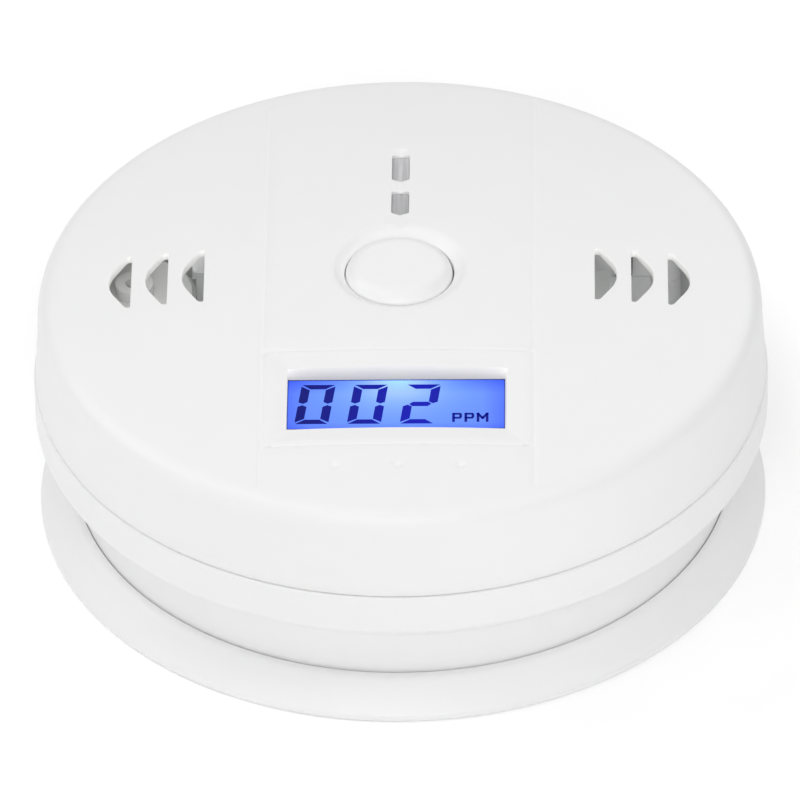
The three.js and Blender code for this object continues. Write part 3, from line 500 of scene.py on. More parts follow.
def feature_points(plan):
    """Points that follow the grooves, the sloping frame, the dish, the channel and the dimples."""
    for share in (0.03, 0.09, 0.3, 0.6, 0.85, 0.91, 0.97, 1.0, 1.03, 1.09):
        x = WINDOW_X + share * (BEZEL_X - WINDOW_X)
        y0 = WINDOW_Y[0] - share * (WINDOW_Y[0] - BEZEL_Y[0])
        y1 = WINDOW_Y[1] + share * (BEZEL_Y[1] - WINDOW_Y[1])
        nearby = [0.0, 0.12, 0.35, 0.7]
        xs = [-x + d for d in nearby] + spaced(-x + 1.4, x - 1.4, 1.1) + [x - d for d in nearby[::-1]]
        ys = [y0 + d for d in nearby] + spaced(y0 + 1.4, y1 - 1.4, 1.1) + [y1 - d for d in nearby[::-1]]
        rows = (y0, y1) if share <= 1 else (y1,)  # the groove follows right after the lower edge
        plan.add([(px, py) for px in xs for py in rows] + [(px, py) for py in ys for px in (-x, x)])
    for u in (-0.22, -0.15, -0.08, 0.0, 0.08, 0.15, 0.22, 0.35, 0.6, 0.8):
        r = DISH_RADIUS - u * (DISH_RADIUS - BUTTON_HOLE)
        plan.add(arc(0, BUTTON_Y, r, r, 0, 360, 120)[:-1])
    for x in DIMPLE_X:
        plan.add([(x, DIMPLE_Y)])
        for share in (0.2, 0.4, 0.6, 0.8, 1.0, 1.2):
            r = DIMPLE_RADIUS * share
            plan.add(arc(x, DIMPLE_Y, r, r, 0, 360, 20)[:-1])
    across = [i / 5 * CHANNEL_HALF for i in range(-5, 6)] + [GUIDE_HALF + 0.15, -GUIDE_HALF - 0.15]
    along = spaced(BUTTON_Y + DISH_RADIUS + 0.4, CHANNEL_Y[1] - 1.2, 0.7)
    along += [CHANNEL_Y[1] - d for d in (0.9, 0.7, 0.5, 0.3, 0.1, -0.1)]
    plan.add([(x, y) for y in along for x in across])
    lines = [i / 5 * GROOVE_HALF for i in range(-5, 6)]
    ends = [0.0, 0.3, 0.6, 0.9, 1.2, 1.5]
    along = [GROOVE_Y[0] + e for e in ends] + spaced(GROOVE_Y[0] + 2.5, GROOVE_Y[1] - 2.5, 1.2)
    along += [GROOVE_Y[1] - e for e in ends]
    plan.add([(s * GROOVE_X + d, y) for s in (-1, 1) for d in lines for y in along])
    lines = [i / 4 * CROSS_HALF for i in range(-4, 5)]
    along = spaced(-GROOVE_X + 0.6, GROOVE_X - 0.6, 1.0)
    plan.add([(x, line + d) for line in CROSS_Y for d in lines for x in along])


def cover_faces():
    """Vertices and faces of the cover's shell: face, side, underside and hole walls."""
    rim_shares = (0.0, 0.12, 0.24, 0.36, 0.47, 0.56, 0.64, 0.7)
    side_shares = (0.76, 0.81, 0.86, 0.9, 0.935, 0.96, 0.98, 0.993, 1.0)
    inner_radius = COVER_RIM_RADIUS - RIM_IN
    plan = Plan(inner_radius + RIM_IN * rim_shares[-1], HOLES)
    for outline, rounding in HOLES:
        for a in (12, 24, 36, 48, 60, 75, 90) if rounding else ():
            away = rounding * (1 - math.cos(math.radians(a)))
            drop = rounding * (1 - math.sin(math.radians(a)))
            plan.add(grown(outline, away), drop, cell=min(CELL, max(0.004, rounding * 0.03)))
    for share in rim_shares[:-1]:
        r = inner_radius + RIM_IN * share
        plan.add(arc(0, 0, r, r, 0, 360, SIDES)[:-1])
    feature_points(plan)
    plan.fill(1.6, 0.95)
    verts, faces, loops = plan.triangulated(face_height)

    under_radius = COVER_RIM_RADIUS - COVER_WALL - INNER_EDGE
    under_holes = [(outline, 0.0) for outline, _ in HOLES]
    leaning = [(min(x, WINDOW_FOOT_RIGHT), y) for x, y in HOLES[WINDOW_HOLE][0]]
    under_holes[WINDOW_HOLE] = (leaning, 0.0)
    under = Plan(under_radius, under_holes)
    (x0, x1), (y0, y1) = VENT_RECESS
    for margin in (-0.4, -0.2, 0.0):
        x = (x0 + margin, x1 - margin)
        y = (y0 + margin, y1 - margin)
        ring = resampled([(x[0], y[0]), (x[1], y[0]), (x[1], y[1]), (x[0], y[1])], 1.2)
        under.add(ring + [(-px, py) for px, py in ring])
    for margin in (WINDOW_FRAME - 0.01, WINDOW_FRAME + 0.12):
        x, y0, y1 = WINDOW_X + margin, WINDOW_Y[0] - margin, WINDOW_Y[1] + margin
        under.add(resampled([(x, y1), (-x, y1), (-x, y0), (x, y0)], 1.2))
    under.fill(3.0, 1.4)
    under_verts, under_faces, under_loops = under.triangulated(inside_height)
    shift = len(verts)
    verts += under_verts
    faces += [[i + shift for i in f[::-1]] for f in under_faces]
    under_loops = [[i + shift for i in loop] for loop in under_loops]

    def bridge(first, second):
        n = len(first)
        for i in range(n):
            j = (i + 1) % n
            faces.append([first[i], first[j], second[j], second[i]])

    for upper, lower in zip(loops[1:], under_loops[1:]):
        bridge(upper, lower)
    rim_z = dome(COVER_RIM_RADIUS) - RIM_DOWN
    profile = []
    for share in side_shares:
        r = inner_radius + RIM_IN * share
        profile.append((r, dome(r) - rim_drop(share)))
    side_bottom = COVER_BOTTOM + 0.25
    for t in (0.05, 0.3, 0.6, 0.85, 1.0):
        r = COVER_RIM_RADIUS + (COVER_RADIUS - COVER_RIM_RADIUS) * t
        profile.append((r, rim_z + (side_bottom - rim_z) * t))
    profile += [(COVER_RADIUS - 0.08, COVER_BOTTOM + 0.07), (COVER_RADIUS - 0.25, COVER_BOTTOM)]
    inner_side = COVER_RADIUS - COVER_WALL
    profile += [(inner_side + 0.1, COVER_BOTTOM), (inner_side, COVER_BOTTOM + 0.1)]
    inner_top = dome(under_radius, FACE_WALL) - 0.1
    profile += [
        (under_radius + x, inner_top - INNER_EDGE + z)
        for x, z in (polar(INNER_EDGE, a) for a in (0, 20, 40, 60, 75))
    ]
    last = loops[0]
    for r, z in profile:
        ring = list(range(len(verts), len(verts) + SIDES))
        verts += [(*polar(r, 360 * i / SIDES), z) for i in range(SIDES)]
        bridge(last, ring)
        last = ring
    bridge(last, under_loops[0])
    return verts, faces


# ---- Materials ----


class Shader:
    """A small builder for procedural materials."""

    def __init__(self, name):
        self.material = bpy.data.materials.new(name)
        self.material.use_nodes = True
        self.tree = self.material.node_tree
        self.surface = self.tree.nodes["Principled BSDF"]
        self.place = self.tree.nodes.new("ShaderNodeTexCoord").outputs["Object"]

    def set(self, **values):
        for key, value in values.items():
            self.surface.inputs[key.replace("_", " ")].default_value = value
        return self

    def node(self, kind, inputs=(), **settings):
        made = self.tree.nodes.new(kind)
        for key, value in settings.items():
            setattr(made, key, value)
        for key, value in dict(inputs).items():
            if isinstance(value, bpy.types.NodeSocket):
                self.tree.links.new(value, made.inputs[key])
            else:
                made.inputs[key].default_value = value
        return made

    def link(self, output, socket):
        self.tree.links.new(output, self.surface.inputs[socket])

    def noise(self, scale, detail=2.0, roughness=0.5, stretch=None):
        place = self.place
        if stretch:
            place = self.node("ShaderNodeMapping", {"Vector": place, "Scale": stretch}).outputs[0]
        inputs = {"Vector": place, "Scale": scale, "Detail": detail, "Roughness": roughness}
        return self.node("ShaderNodeTexNoise", inputs).outputs["Fac"]

    def ramp(self, value, stops):
        made = self.node("ShaderNodeValToRGB", {"Fac": value})
        ramp = made.color_ramp
        while len(ramp.elements) < len(stops):
            ramp.elements.new(0.5)
        for element, (position, color) in zip(ramp.elements, stops):
            element.position = position
            element.color = (*color, 1.0)
        return made.outputs["Color"]

    def between(self, value, low, high, start=0.0, end=1.0):
        """From low to high as the value goes from start to end."""
        inputs = {"Value": value, "From Min": start, "From Max": end, "To Min": low, "To Max": high}
        return self.node("ShaderNodeMapRange", inputs).outputs["Result"]

    def maths(self, operation, a, b=0.0):
        return self.node("ShaderNodeMath", {0: a, 1: b}, operation=operation).outputs[0]

    def axis(self, name):
        return self.node("ShaderNodeSeparateXYZ", {"Vector": self.place}).outputs[name]

    def bump(self, value, depth, distance=0.0002):
        inputs = {"Height": value, "Strength": depth, "Distance": distance}
        self.link(self.node("ShaderNodeBump", inputs).outputs["Normal"], "Normal")


def moulded(name, color, roughness=0.45, spread=0.05, grain=9000.0, depth=0.08, tint=0.03):
    """Moulded plastic: fine grain, slight mottling and uneven gloss."""
    s = Shader(name)
    mottle = s.noise(180.0, 3.0)
    dark = tuple(c * (1 - tint) for c in color)
    s.link(s.ramp(mottle, [(0.3, dark), (0.7, color)]), "Base Color")
    s.link(s.between(s.noise(600.0, 2.0), roughness - spread, roughness + spread), "Roughness")
    s.bump(s.noise(grain, 2.0), depth)
    return s


def brushed(name, color, roughness=0.3, stretch=(1.0, 1.0, 12.0), grain=4000.0):
    """Metal with drawn streaks and faint tarnish."""
    s = Shader(name).set(Metallic=1.0)
    streaks = s.noise(grain, 2.0, 0.5, stretch)
    dark = tuple(c * 0.8 for c in color)
    s.link(s.ramp(s.noise(500.0, 3.0), [(0.35, dark), (0.65, color)]), "Base Color")
    s.link(s.between(streaks, roughness - 0.1, roughness + 0.12), "Roughness")
    s.bump(streaks, 0.06)
    return s


def painted_glow_wall(name, start, end, strength):
    """White plastic at an opening's wall with a painted glow: emission that stands in for light on the
    wall, and fades to painted shade further down.

    Start and end are depths below the dome in millimetres, and strength is the glow at each.
    """
    s = Shader(name)
    whites = [(0.3, (0.87, 0.87, 0.865)), (0.7, (0.88, 0.88, 0.875))]
    s.link(s.ramp(s.noise(180.0, 3.0), whites), "Base Color")
    flat = s.node("ShaderNodeVectorMath", {0: s.place, 1: (1.0, 1.0, 0.0)}, operation="MULTIPLY")
    radius = s.node("ShaderNodeVectorMath", {0: flat.outputs[0]}, operation="LENGTH").outputs["Value"]
    fall = 0.5 / (FACE_DOME * MM)  # how much lower the dome is for each square metre of radius squared
    sunk = s.maths("MULTIPLY", s.maths("POWER", radius, 2.0), fall)
    level = s.maths("ADD", s.axis("Z"), sunk)
    top, bottom = (FACE_TOP - start) * MM, (FACE_TOP - end) * MM
    # painted glow: emission strongest at the top of the wall, fading to painted shade lower down
    s.link(s.between(level, strength[1], strength[0], bottom, top), "Emission Strength")
    s.set(Roughness=0.5, Emission_Color=(1.0, 0.98, 0.94, 1.0))
    return s.material


WHITE = (0.88, 0.88, 0.88)
BUTTON_WHITE = (0.89, 0.89, 0.89)
# Walls of the vents and of the display window: painted glow for light on them, fading to painted shade
# further down
vent_wall_glow = painted_glow_wall("vent wall painted glow", 0.0, VENT_SKIN, (0.26, 0.08))
window_wall_glow = painted_glow_wall("window wall painted glow", 0.55, 2.8, (0.38, 0.03))
shell_plastic = moulded("white shell plastic", WHITE, 0.42, 0.03, 7000.0, 0.05, 0.008).material
button_plastic = moulded("white button plastic", BUTTON_WHITE, 0.38, 0.03, 9000.0, 0.04, 0.006).material
inner_plastic = moulded("inner plastic", (0.80, 0.80, 0.79), 0.5).material
black_plastic = moulded("black plastic", (0.02, 0.02, 0.022), 0.45, 0.06, 6000.0, 0.12, 0.3).material
contact_rubber = moulded("contact rubber", (0.42, 0.42, 0.45), 0.6).material
filter_felt = moulded("filter felt", (0.75, 0.75, 0.72), 0.9, 0.05, 3000.0, 0.6, 0.2).material
bright_metal = brushed("bright metal", (0.72, 0.72, 0.73)).material
brass = brushed("brass", (0.75, 0.55, 0.25), 0.25).material
screw_steel = brushed("screw steel", (0.62, 0.63, 0.66), 0.28).material
red_wire = moulded("red wire", (0.55, 0.02, 0.02), 0.35).material
black_wire = moulded("black wire", (0.02, 0.02, 0.02), 0.35).material
foam = moulded("foam", (0.03, 0.03, 0.033), 0.95, 0.03, 2500.0, 0.9, 0.5).material
red_led = moulded("red lamp", (0.6, 0.05, 0.04), 0.15, 0.03).material
green_led = moulded("green lamp", (0.08, 0.5, 0.12), 0.15, 0.03).material


def board_material():
    """Green solder mask with lighter tracks."""
    s = Shader("circuit board")
    inputs = {"Vector": s.place, "Scale": 420.0}
    grid = s.node("ShaderNodeTexVoronoi", inputs, feature="DISTANCE_TO_EDGE")
    tracks = s.ramp(grid.outputs["Distance"], [(0.06, (0.03, 0.22, 0.08)), (0.10, (0.012, 0.11, 0.04))])
    s.link(tracks, "Base Color")
    s.link(s.between(s.noise(900.0), 0.28, 0.4), "Roughness")
    s.bump(grid.outputs["Distance"], 0.1)
    return s.material


def guide_material():
    """Grey light guide with upright streaks, a little darker in the lower window."""
    s = Shader("light guide")
    streaks = s.noise(2600.0, 1.0, 0.5, (1.0, 0.06, 0.06))
    shade = s.ramp(streaks, [(0.35, (0.47, 0.47, 0.48)), (0.65, (0.60, 0.60, 0.61))])
    darker = s.between(s.axis("Y"), 0.8, 1.0, 17 * MM, 22 * MM)
    scaled = s.node("ShaderNodeVectorMath", {0: shade, "Scale": darker}, operation="SCALE")
    s.link(scaled.outputs[0], "Base Color")
    s.link(s.between(s.noise(800.0), 0.28, 0.42), "Roughness")
    s.bump(streaks, 0.1)
    return s.material


def battery_material():
    """A dark printed jacket with a copper-coloured band, and bare steel at both ends."""
    s = Shader("battery jacket")
    along = s.between(s.axis("X"), 0.0, 1.0, -25 * MM, 28 * MM)
    stops = (0.035, 0.045, 0.62, 0.63, 0.93, 0.94)  # steel to wrap, wrap to copper, copper to steel

    def banded(steel, wrap, copper):
        return s.ramp(along, list(zip(stops, (steel, wrap, wrap, copper, copper, steel))))

    s.link(banded((0.66, 0.66, 0.67), (0.05, 0.055, 0.065), (0.62, 0.33, 0.12)), "Base Color")
    s.link(banded((1, 1, 1), (0.1, 0.1, 0.1), (0.7, 0.7, 0.7)), "Metallic")
    s.link(s.between(s.noise(700.0, 3.0), 0.22, 0.36), "Roughness")
    s.bump(s.noise(2200.0, 2.0), 0.05)
    return s.material


battery_jacket = battery_material()
circuit_board = board_material()
light_guide = guide_material()


def painted(obj, material):
    """Gives an object its one material."""
    obj.data.materials.clear()
    obj.data.materials.append(material)
    return obj


def placed(obj, body, nodes, material):
    """Gives a new piece its body, the CAD nodes that it stands for and its material."""
    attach(obj, body)
    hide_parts(*nodes)
    return painted(obj, material)


# ---- Front cover ----

CUT, ADD = "DIFFERENCE", "UNION"
POSTS = [polar(POST_CIRCLE, a) for a in POST_ANGLES]
BAY = (BAY_X + BAY_WALL, BAY_Y + BAY_WALL)

cover = outward(make_object("front_cover_shell", *cover_faces()))
steps = [(ADD, rod(POST_RADIUS, (COVER_BOTTOM, INSIDE_TOP), at)) for at in POSTS]
for side in (-1, 1):
    ends = sorted((side * BAY[0], side * POSTS[0][0]))
    steps.append((ADD, block(ends, RIB_Y, (COVER_BOTTOM, INSIDE_TOP + 0.3))))
steps += [(CUT, rod(SCREW_HOLE, (COVER_BOTTOM - 1, 30.0), at)) for at in POSTS]
combined(cover, steps)
placed(smooth(cover, 40), "detector", ["front_cover"], shell_plastic)
cover.data.materials.append(vent_wall_glow)
cover.data.materials.append(window_wall_glow)
vents_x, vents_y = VENT_RECESS
# The steep walls of the vents and the display window get the painted-glow materials: emission that
# stands in for light on them, fading to painted shade further down.
for face in cover.data.polygons:
    x, y, z = face.center / MM
    if abs(face.normal.z) < 0.4 and z > 34.0:  # a steep face near the top, so a wall of an opening
        if vents_x[0] < abs(x) < vents_x[1] and vents_y[0] < y < vents_y[1]:
            face.material_index = 1
        elif abs(x) < WINDOW_X + 0.5 and WINDOW_Y[0] - 0.1 < y < WINDOW_Y[1] + 0.1:
            face.material_index = 2


# ---- Rear housing ----


def key_slot(angle):
    """Cuts for one hook: a wide end that lets its head through, and a neck to the locked place."""
    head, neck, z = 2.5, 1.3, (2.0, 5.8)
    free = angle - TWIST
    wide = sector((HOOK_CIRCLE - head, HOOK_CIRCLE + head), (free - 6.6, free + 6.6), z)
    narrow = sector((HOOK_CIRCLE - neck, HOOK_CIRCLE + neck), (free, angle + 4.5), z)
    return [(CUT, wide), (CUT, narrow)]


housing_profile = [(0, 3.0), (44.2, 3.0), (44.35, 3.03), (44.5, 3.15), (44.6, 3.4)]
housing_profile += [(44.68 + 0.8 * t, 3.6 + 7.9 * t) for t in (0.0, 0.33, 0.66, 1.0)]
housing_profile += [(45.55, 11.68), (45.7, 11.83)]
housing_profile += arc(48.0, 16.6, 2.0, 2.0, -48, 0, 12)
housing_profile += [(50.0, 19.5), (50.0, HOUSING_TOP - 0.25), (49.93, HOUSING_TOP - 0.07)]
housing_profile += [(49.75, HOUSING_TOP), (47.6, HOUSING_TOP), (47.5, HOUSING_TOP + 0.1)]
housing_profile += [(47.5, 23.1), (47.4, 23.2), (46.6, 23.2), (46.5, 23.1)]
housing_profile += [(46.5, 19.0), (43.7, 13.4), (42.8, 5.4), (42.2, 4.8), (0, 4.8)]
housing = outward(make_object("rear_housing_shell", *lathe(housing_profile)))
steps = [(ADD, block((-BAY[0], BAY[0]), (-BAY[1], BAY[1]), (3.5, BAY_ROOF)))]
for side in (-1, 1):
    ends = sorted((side * (BAY[0] - 0.5), side * POSTS[0][0]))
    steps.append((ADD, block(ends, RIB_Y, (4.0, HOUSING_TOP))))
steps += [(ADD, rod(2.3, (BAY_ROOF - 0.6, 22.6), at)) for at in BOARD_POSTS]
for y, outer in ((3, -43), (15, -40.4)):  # the two ribs under the sounder
    steps.append((ADD, block((outer, -BAY_X), (y - 0.8, y + 0.8), (4.0, 19.7))))
for at in POSTS:
    steps += [(ADD, rod(3.0, (3.5, 16), at)), (ADD, rod(POST_RADIUS, (15, HOUSING_TOP), at))]
steps.append((CUT, block((-BAY_X, BAY_X), (-BAY_Y, BAY_Y), (2, BAY_TOP))))
for x, y in (((26.6, 27.9), (-11.0, -8.2)), ((-27.9, -26.6), (8.2, 11.0))):  # for the terminals' tabs
    steps.append((CUT, block(x, y, (17, 21))))
steps += [(CUT, rod(SCREW_HOLE, (BAY_ROOF + 0.3, 24), at)) for at in BOARD_POSTS]
for angle in HOOK_ANGLES:
    steps += key_slot(angle)
for at in POSTS:  # room for the screw's head, then for its shank
    steps += [(CUT, rod(2.2, (2, 8.5), at)), (CUT, rod(SCREW_HOLE, (7.5, 23), at))]
combined(housing, steps)
placed(smooth(housing, 30), "detector", ["rear_housing"], shell_plastic)


# ---- Mounting plate ----

plate_profile = [(0, 0), (45.3, 0), (45.4, 0.1), (45.4, 2.2), (46.8, 2.2), (47.2, 0.1), (47.3, 0)]
plate_profile += [(49.4, 0), (49.62, 0.06), (49.72, 0.18), (49.75, 0.35), (49.75, 0.55), (49.7, 0.75)]
plate_profile += [(49.58, 0.95), (49.35, 1.2), (46.4, 4.15), (46.2, 4.35), (45.98, 4.52), (45.75, 4.6)]
plate_profile += [(45.05, 4.6), (44.91, 4.56), (44.84, 4.45), (44.84, 3.9), (45.25, 3.4), (45.25, 2.0)]
plate_profile += [(44.6, 2.0), (44.6, 2.6), (44.5, 2.7), (43.3, 2.7), (43.2, 2.6), (43.2, 2.0)]
plate_profile += [(0, 2.0)]
plate = outward(make_object("mounting_plate_disc", *lathe(plate_profile)))
steps = []
for x in (-30, 30):  # screw slots, each in a recess
    steps.append((CUT, prism(slot_outline(x, 4.6, 12), -1, 4)))
    steps.append((CUT, prism(slot_outline(x, 8.6, 16), 1.0, 4)))
for angle in HOOK_ANGLES:  # a neck and a wider head
    steps.append((ADD, sector((39.2, 41.2), (angle - 3.6, angle + 3.6), (1.0, 5.8))))
    steps.append((ADD, sector((38.0, 42.4), (angle - 5.7, angle + 5.7), (5.1, 6.6))))
combined(plate, steps)
placed(smooth(plate, 30), "mounting_plate", ["mounting_plate"], shell_plastic)


# ---- Light guides ----


def light_guide_faces(ends, bottom):
    """A bar that ends a little below the face, with softly rounded upper edges."""
    gap = 0.02
    verts, faces = [], []
    layers = [(0.0, None), (0.0, 0.56), (0.02, 0.52), (0.06, 0.5), (0.4, 0.5)]  # inset, depth
    for inset, drop in layers:
        x = (gap - GUIDE_HALF + inset, GUIDE_HALF - gap - inset)
        y = (ends[0] + gap + inset, ends[1] - gap - inset)
        outline = rounded_rectangle(x, y, 0.28 - 0.3 * inset)
        n = len(outline)
        for px, py in outline:
            verts.append((px, py, bottom if drop is None else dome(abs(py)) - drop))
    for layer in range(len(layers) - 1):
        for i in range(n):
            a, b = layer * n + i, layer * n + (i + 1) % n
            faces.append([a, b, b + n, a + n])
    faces.append(list(range(n))[::-1])
    faces.append(list(range((len(layers) - 1) * n, len(layers) * n)))
    return verts, faces


for name, ends in zip(("light_guide_upper", "light_guide_lower"), GUIDE_Y):
    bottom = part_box(name)[0].z / MM
    lens = outward(make_object(name + "_lens", *light_guide_faces(ends, bottom)))
    placed(smooth(lens, 45), "detector", [name], light_guide)


# ---- Test button ----

CAP_RADIUS = 7.3
CAP_TOP = 38.15
CAP_ROUND = (2.2, 2.0)  # width and height of the rounding
button_profile = [(0, 30.6), (1.6, 30.6), (1.8, 30.8), (1.8, 36.6), (6.0, 36.2), (6.0, 33.2)]
button_profile += [(8.3, 33.2), (8.4, 33.3), (8.4, 34.3), (8.3, 34.4)]
button_profile += [(CAP_RADIUS + 0.05, 34.4), (CAP_RADIUS, 34.5)]
button_profile += arc(CAP_RADIUS - CAP_ROUND[0], CAP_TOP - CAP_ROUND[1], *CAP_ROUND, 0, 90, 24)
button_profile += [(2.5, CAP_TOP), (0, CAP_TOP)]
button = outward(make_object("test_button_cap", *lathe(button_profile, 128, (-0.05, BUTTON_Y))))
placed(smooth(button, 40), "test_button", ["test_button"], button_plastic)


# ---- Display ----


def display_glass_material():
    """Blue backlight that fans out from the middle of the upper edge, and painted shade: a dark rim on
    the glass along the window's sides and top and below its foot line.
    """
    s = Shader("display glass")
    x, y, maths = s.axis("X"), s.axis("Y"), s.maths

    def rising(value, width, low):
        """From low, at 0, up to 1 over a width in millimetres."""
        return s.between(value, low, 1.0, 0.0, width * MM)

    middle = (WINDOW_LEFT + WINDOW_FOOT_RIGHT) / 2 * MM
    half = (WINDOW_FOOT_RIGHT - WINDOW_LEFT) / 2 * MM
    from_side = maths("SUBTRACT", half, maths("ABSOLUTE", maths("SUBTRACT", x, middle)))
    from_top = maths("SUBTRACT", WINDOW_Y[1] * MM, y)
    shade_foot_y, lamp_y, reach = -30.2, -17.5, 4.0
    from_foot = maths("SUBTRACT", y, shade_foot_y * MM)
    across = maths("POWER", maths("ABSOLUTE", x), 2.0)
    down = maths("POWER", maths("SUBTRACT", lamp_y * MM, y), 2.0)
    away = maths("SQRT", maths("ADD", across, down))
    glow = maths("MULTIPLY", maths("EXPONENT", maths("MULTIPLY", away, -1 / (reach * MM))), 1.15)
    even = maths("MULTIPLY", rising(from_side, 3.0, 0.62), rising(from_top, 3.0, 0.45))
    even = maths("MULTIPLY", maths("MULTIPLY", even, rising(from_foot, 1.4, 0.7)), 0.235)
    nearest = maths("MINIMUM", maths("MINIMUM", from_side, from_top), from_foot)
    # painted shade: the glass darkens to a rim along the window's sides and top and below the foot line
    rim_shade = rising(maths("SUBTRACT", nearest, 0.06 * MM), 0.12, 0.05)
    light = maths("MULTIPLY", maths("ADD", glow, even), rim_shade)
    shade = s.ramp(
        light,
        [
            (0.0, (0.004, 0.008, 0.04)), (0.06, (0.02, 0.06, 0.55)), (0.12, (0.045, 0.115, 0.93)),
            (0.2, (0.088, 0.19, 0.97)), (0.3, (0.14, 0.30, 0.98)), (0.42, (0.22, 0.42, 0.98)),
            (0.55, (0.34, 0.55, 0.98)), (0.76, (0.39, 0.78, 0.98)),
        ],
    )
    s.link(shade, "Emission Color")
    s.set(Emission_Strength=1.0, Roughness=0.12, Specular_IOR_Level=0.2)
    s.set(Base_Color=(0.01, 0.02, 0.08, 1.0))
    return s.material


def ink_material():
    """Dark blue ink, brighter where the backlight behind it is stronger."""
    s = Shader("display ink")
    across = s.between(s.axis("X"), 0.0, 1.0, -14 * MM, 14 * MM)
    inputs = {0: s.noise(700.0), 1: 0.12, 2: across}
    speckled = s.node("ShaderNodeMath", inputs, operation="MULTIPLY_ADD")
    shade = s.ramp(
        speckled.outputs[0],
        [(0.06, (0.0, 0.001, 0.14)), (0.3, (0.0, 0.002, 0.26)), (0.55, (0.001, 0.003, 0.42)),
         (0.69, (0.002, 0.005, 0.48)), (0.86, (0.001, 0.003, 0.22))],
    )
    s.link(shade, "Emission Color")
    s.set(Emission_Strength=0.9, Roughness=0.3, Specular_IOR_Level=0.1)
    s.set(Base_Color=(0.0, 0.002, 0.05, 1.0))
    return s.material


glass = make_object("lcd_glass_panel", *block((-GLASS_X, GLASS_X), GLASS_Y, (31.9, GLASS_TOP)))
placed(glass, "detector", ["lcd_glass"], display_glass_material())
glass.visible_diffuse = False  # the lit glass doesn't tint the walls of its window
bevel = glass.modifiers.new("edges", "BEVEL")
bevel.width, bevel.segments = 0.25 * MM, 3

DIGIT_LEFT = (-13.83, -6.80, 0.27)  # x of each digit's left edge at the foot
DIGIT_FOOT, DIGIT_HEIGHT, DIGIT_WIDTH = -29.05, 8.38, 4.55
BAR, UPRIGHT, MITRE_GAP, SLANT = 0.9, 1.2, 0.2, 0.109


def segment_outlines():
    """The seven segments of a digit, upright, from its lower left corner."""
    w, h, b, u, g = DIGIT_WIDTH, DIGIT_HEIGHT, BAR, UPRIGHT, MITRE_GAP
    mid = h / 2
    side_low, side_high = 0.35, mid - 0.16
    left_low = [(0, side_low), (u, b + side_low * 0.6), (u, mid - b / 2 - 0.08)]
    left_low += [(u * 0.5, side_high), (0, side_high - 0.32)]
    left_high = [(x, h - y) for x, y in left_low[::-1]]
    right_low = [(w - x, y) for x, y in left_low[::-1]]
    right_high = [(w - x, h - y) for x, y in left_low]
    bottom = [(g * 0.6, 0), (w - g * 0.6, 0), (w - u - g * 0.4, b), (u + g * 0.4, b)]
    top = [(x, h - y) for x, y in bottom[::-1]]
    inset = u * 0.5 + g
    middle = [
        (inset, mid), (inset + 0.45, mid - b / 2), (w - inset - 0.45, mid - b / 2),
        (w - inset, mid), (w - inset - 0.45, mid + b / 2), (inset + 0.45, mid + b / 2),
    ]
    return dict(zip("abcdefg", (top, right_high, right_low, bottom, left_low, left_high, middle)))


def strokes(lines, width):
    """Straight strokes with square ends, as outlines."""
    shapes = []
    for (x0, y0), (x1, y1) in lines:
        along = Vector((x1 - x0, y1 - y0)).normalized() * (width / 2)
        side = Vector((-along.y, along.x))
        ends = [(x0 - along.x, y0 - along.y), (x1 + along.x, y1 + along.y)]
        shapes.append([
            (ends[0][0] - side.x, ends[0][1] - side.y), (ends[1][0] - side.x, ends[1][1] - side.y),
            (ends[1][0] + side.x, ends[1][1] + side.y), (ends[0][0] + side.x, ends[0][1] + side.y),
        ])
    return shapes


def printed(name, shapes):
    """Thin ink shapes on the glass, as one object."""
    verts, faces = [], []
    for shape in shapes:
        more, new_faces = prism(shape, GLASS_TOP + 0.01, GLASS_TOP + 0.04)
        faces += [[i + len(verts) for i in f] for f in new_faces]
        verts += more
    return outward(make_object(name, verts, faces))


segments = segment_outlines()
digit_shapes = []
for left, lit in zip(DIGIT_LEFT, ("abcdef", "abcdef", "abged")):
    for key in lit:
        digit_shapes.append([(left + x + y * SLANT, DIGIT_FOOT + y) for x, y in segments[key]])
ink = ink_material()
digits = printed("lcd_digits", digit_shapes)
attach(digits, "detector")
painted(digits, ink)

letter_p = [((0, 0), (0, 1)), ((0, 1), (0.85, 1)), ((1, 0.88), (1, 0.6)), ((0.85, 0.45), (0, 0.45))]
letter_m = [((0, 0), (0, 1)), ((0, 1), (0.5, 0.4)), ((0.5, 0.4), (1, 1)), ((1, 1), (1, 0))]
LETTER_HEIGHT, LETTER_STROKE, LETTER_FOOT = 1.55, 0.36, -28.58
unit_shapes = []
for left, width, letter in ((7.46, 0.95, letter_p), (9.1, 0.95, letter_p), (10.73, 1.22, letter_m)):
    scaled = [[(left + x * width, LETTER_FOOT + y * LETTER_HEIGHT) for x, y in line] for line in letter]
    unit_shapes += strokes(scaled, LETTER_STROKE)
units = printed("lcd_unit", unit_shapes)
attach(units, "detector")
painted(units, ink)


# ---- Foam pad ----


def foam_block(name, low, high, crown=0.05):
    """A crowned block of foam: its faces bulge a little and its edges are soft."""
    bm = bmesh.new()
    bmesh.ops.create_cube(bm, size=2.0)
    bmesh.ops.subdivide_edges(bm, edges=bm.edges, cuts=9, use_grid_fill=True)
    centre, half = (low + high) / 2, (high - low) / 2
    for vert in bm.verts:
        x, y, z = vert.co
        pulled = (
            x * (1 - crown * (y**4 + z**4)),
            y * (1 - crown * (z**4 + x**4)),
            z * (1 - crown * (x**4 + y**4)),
        )
        vert.co = Vector([c + h * share for c, h, share in zip(centre, half, pulled)])
    mesh = bpy.data.meshes.new(name)
    bm.to_mesh(mesh)
    bm.free()
    return linked(name, mesh)


pad = foam_block("foam_pad_block", *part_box("foam_pad"))
placed(smooth(pad, 60), "detector", ["foam_pad"], foam)


# ---- The CAD nodes that keep their shape ----

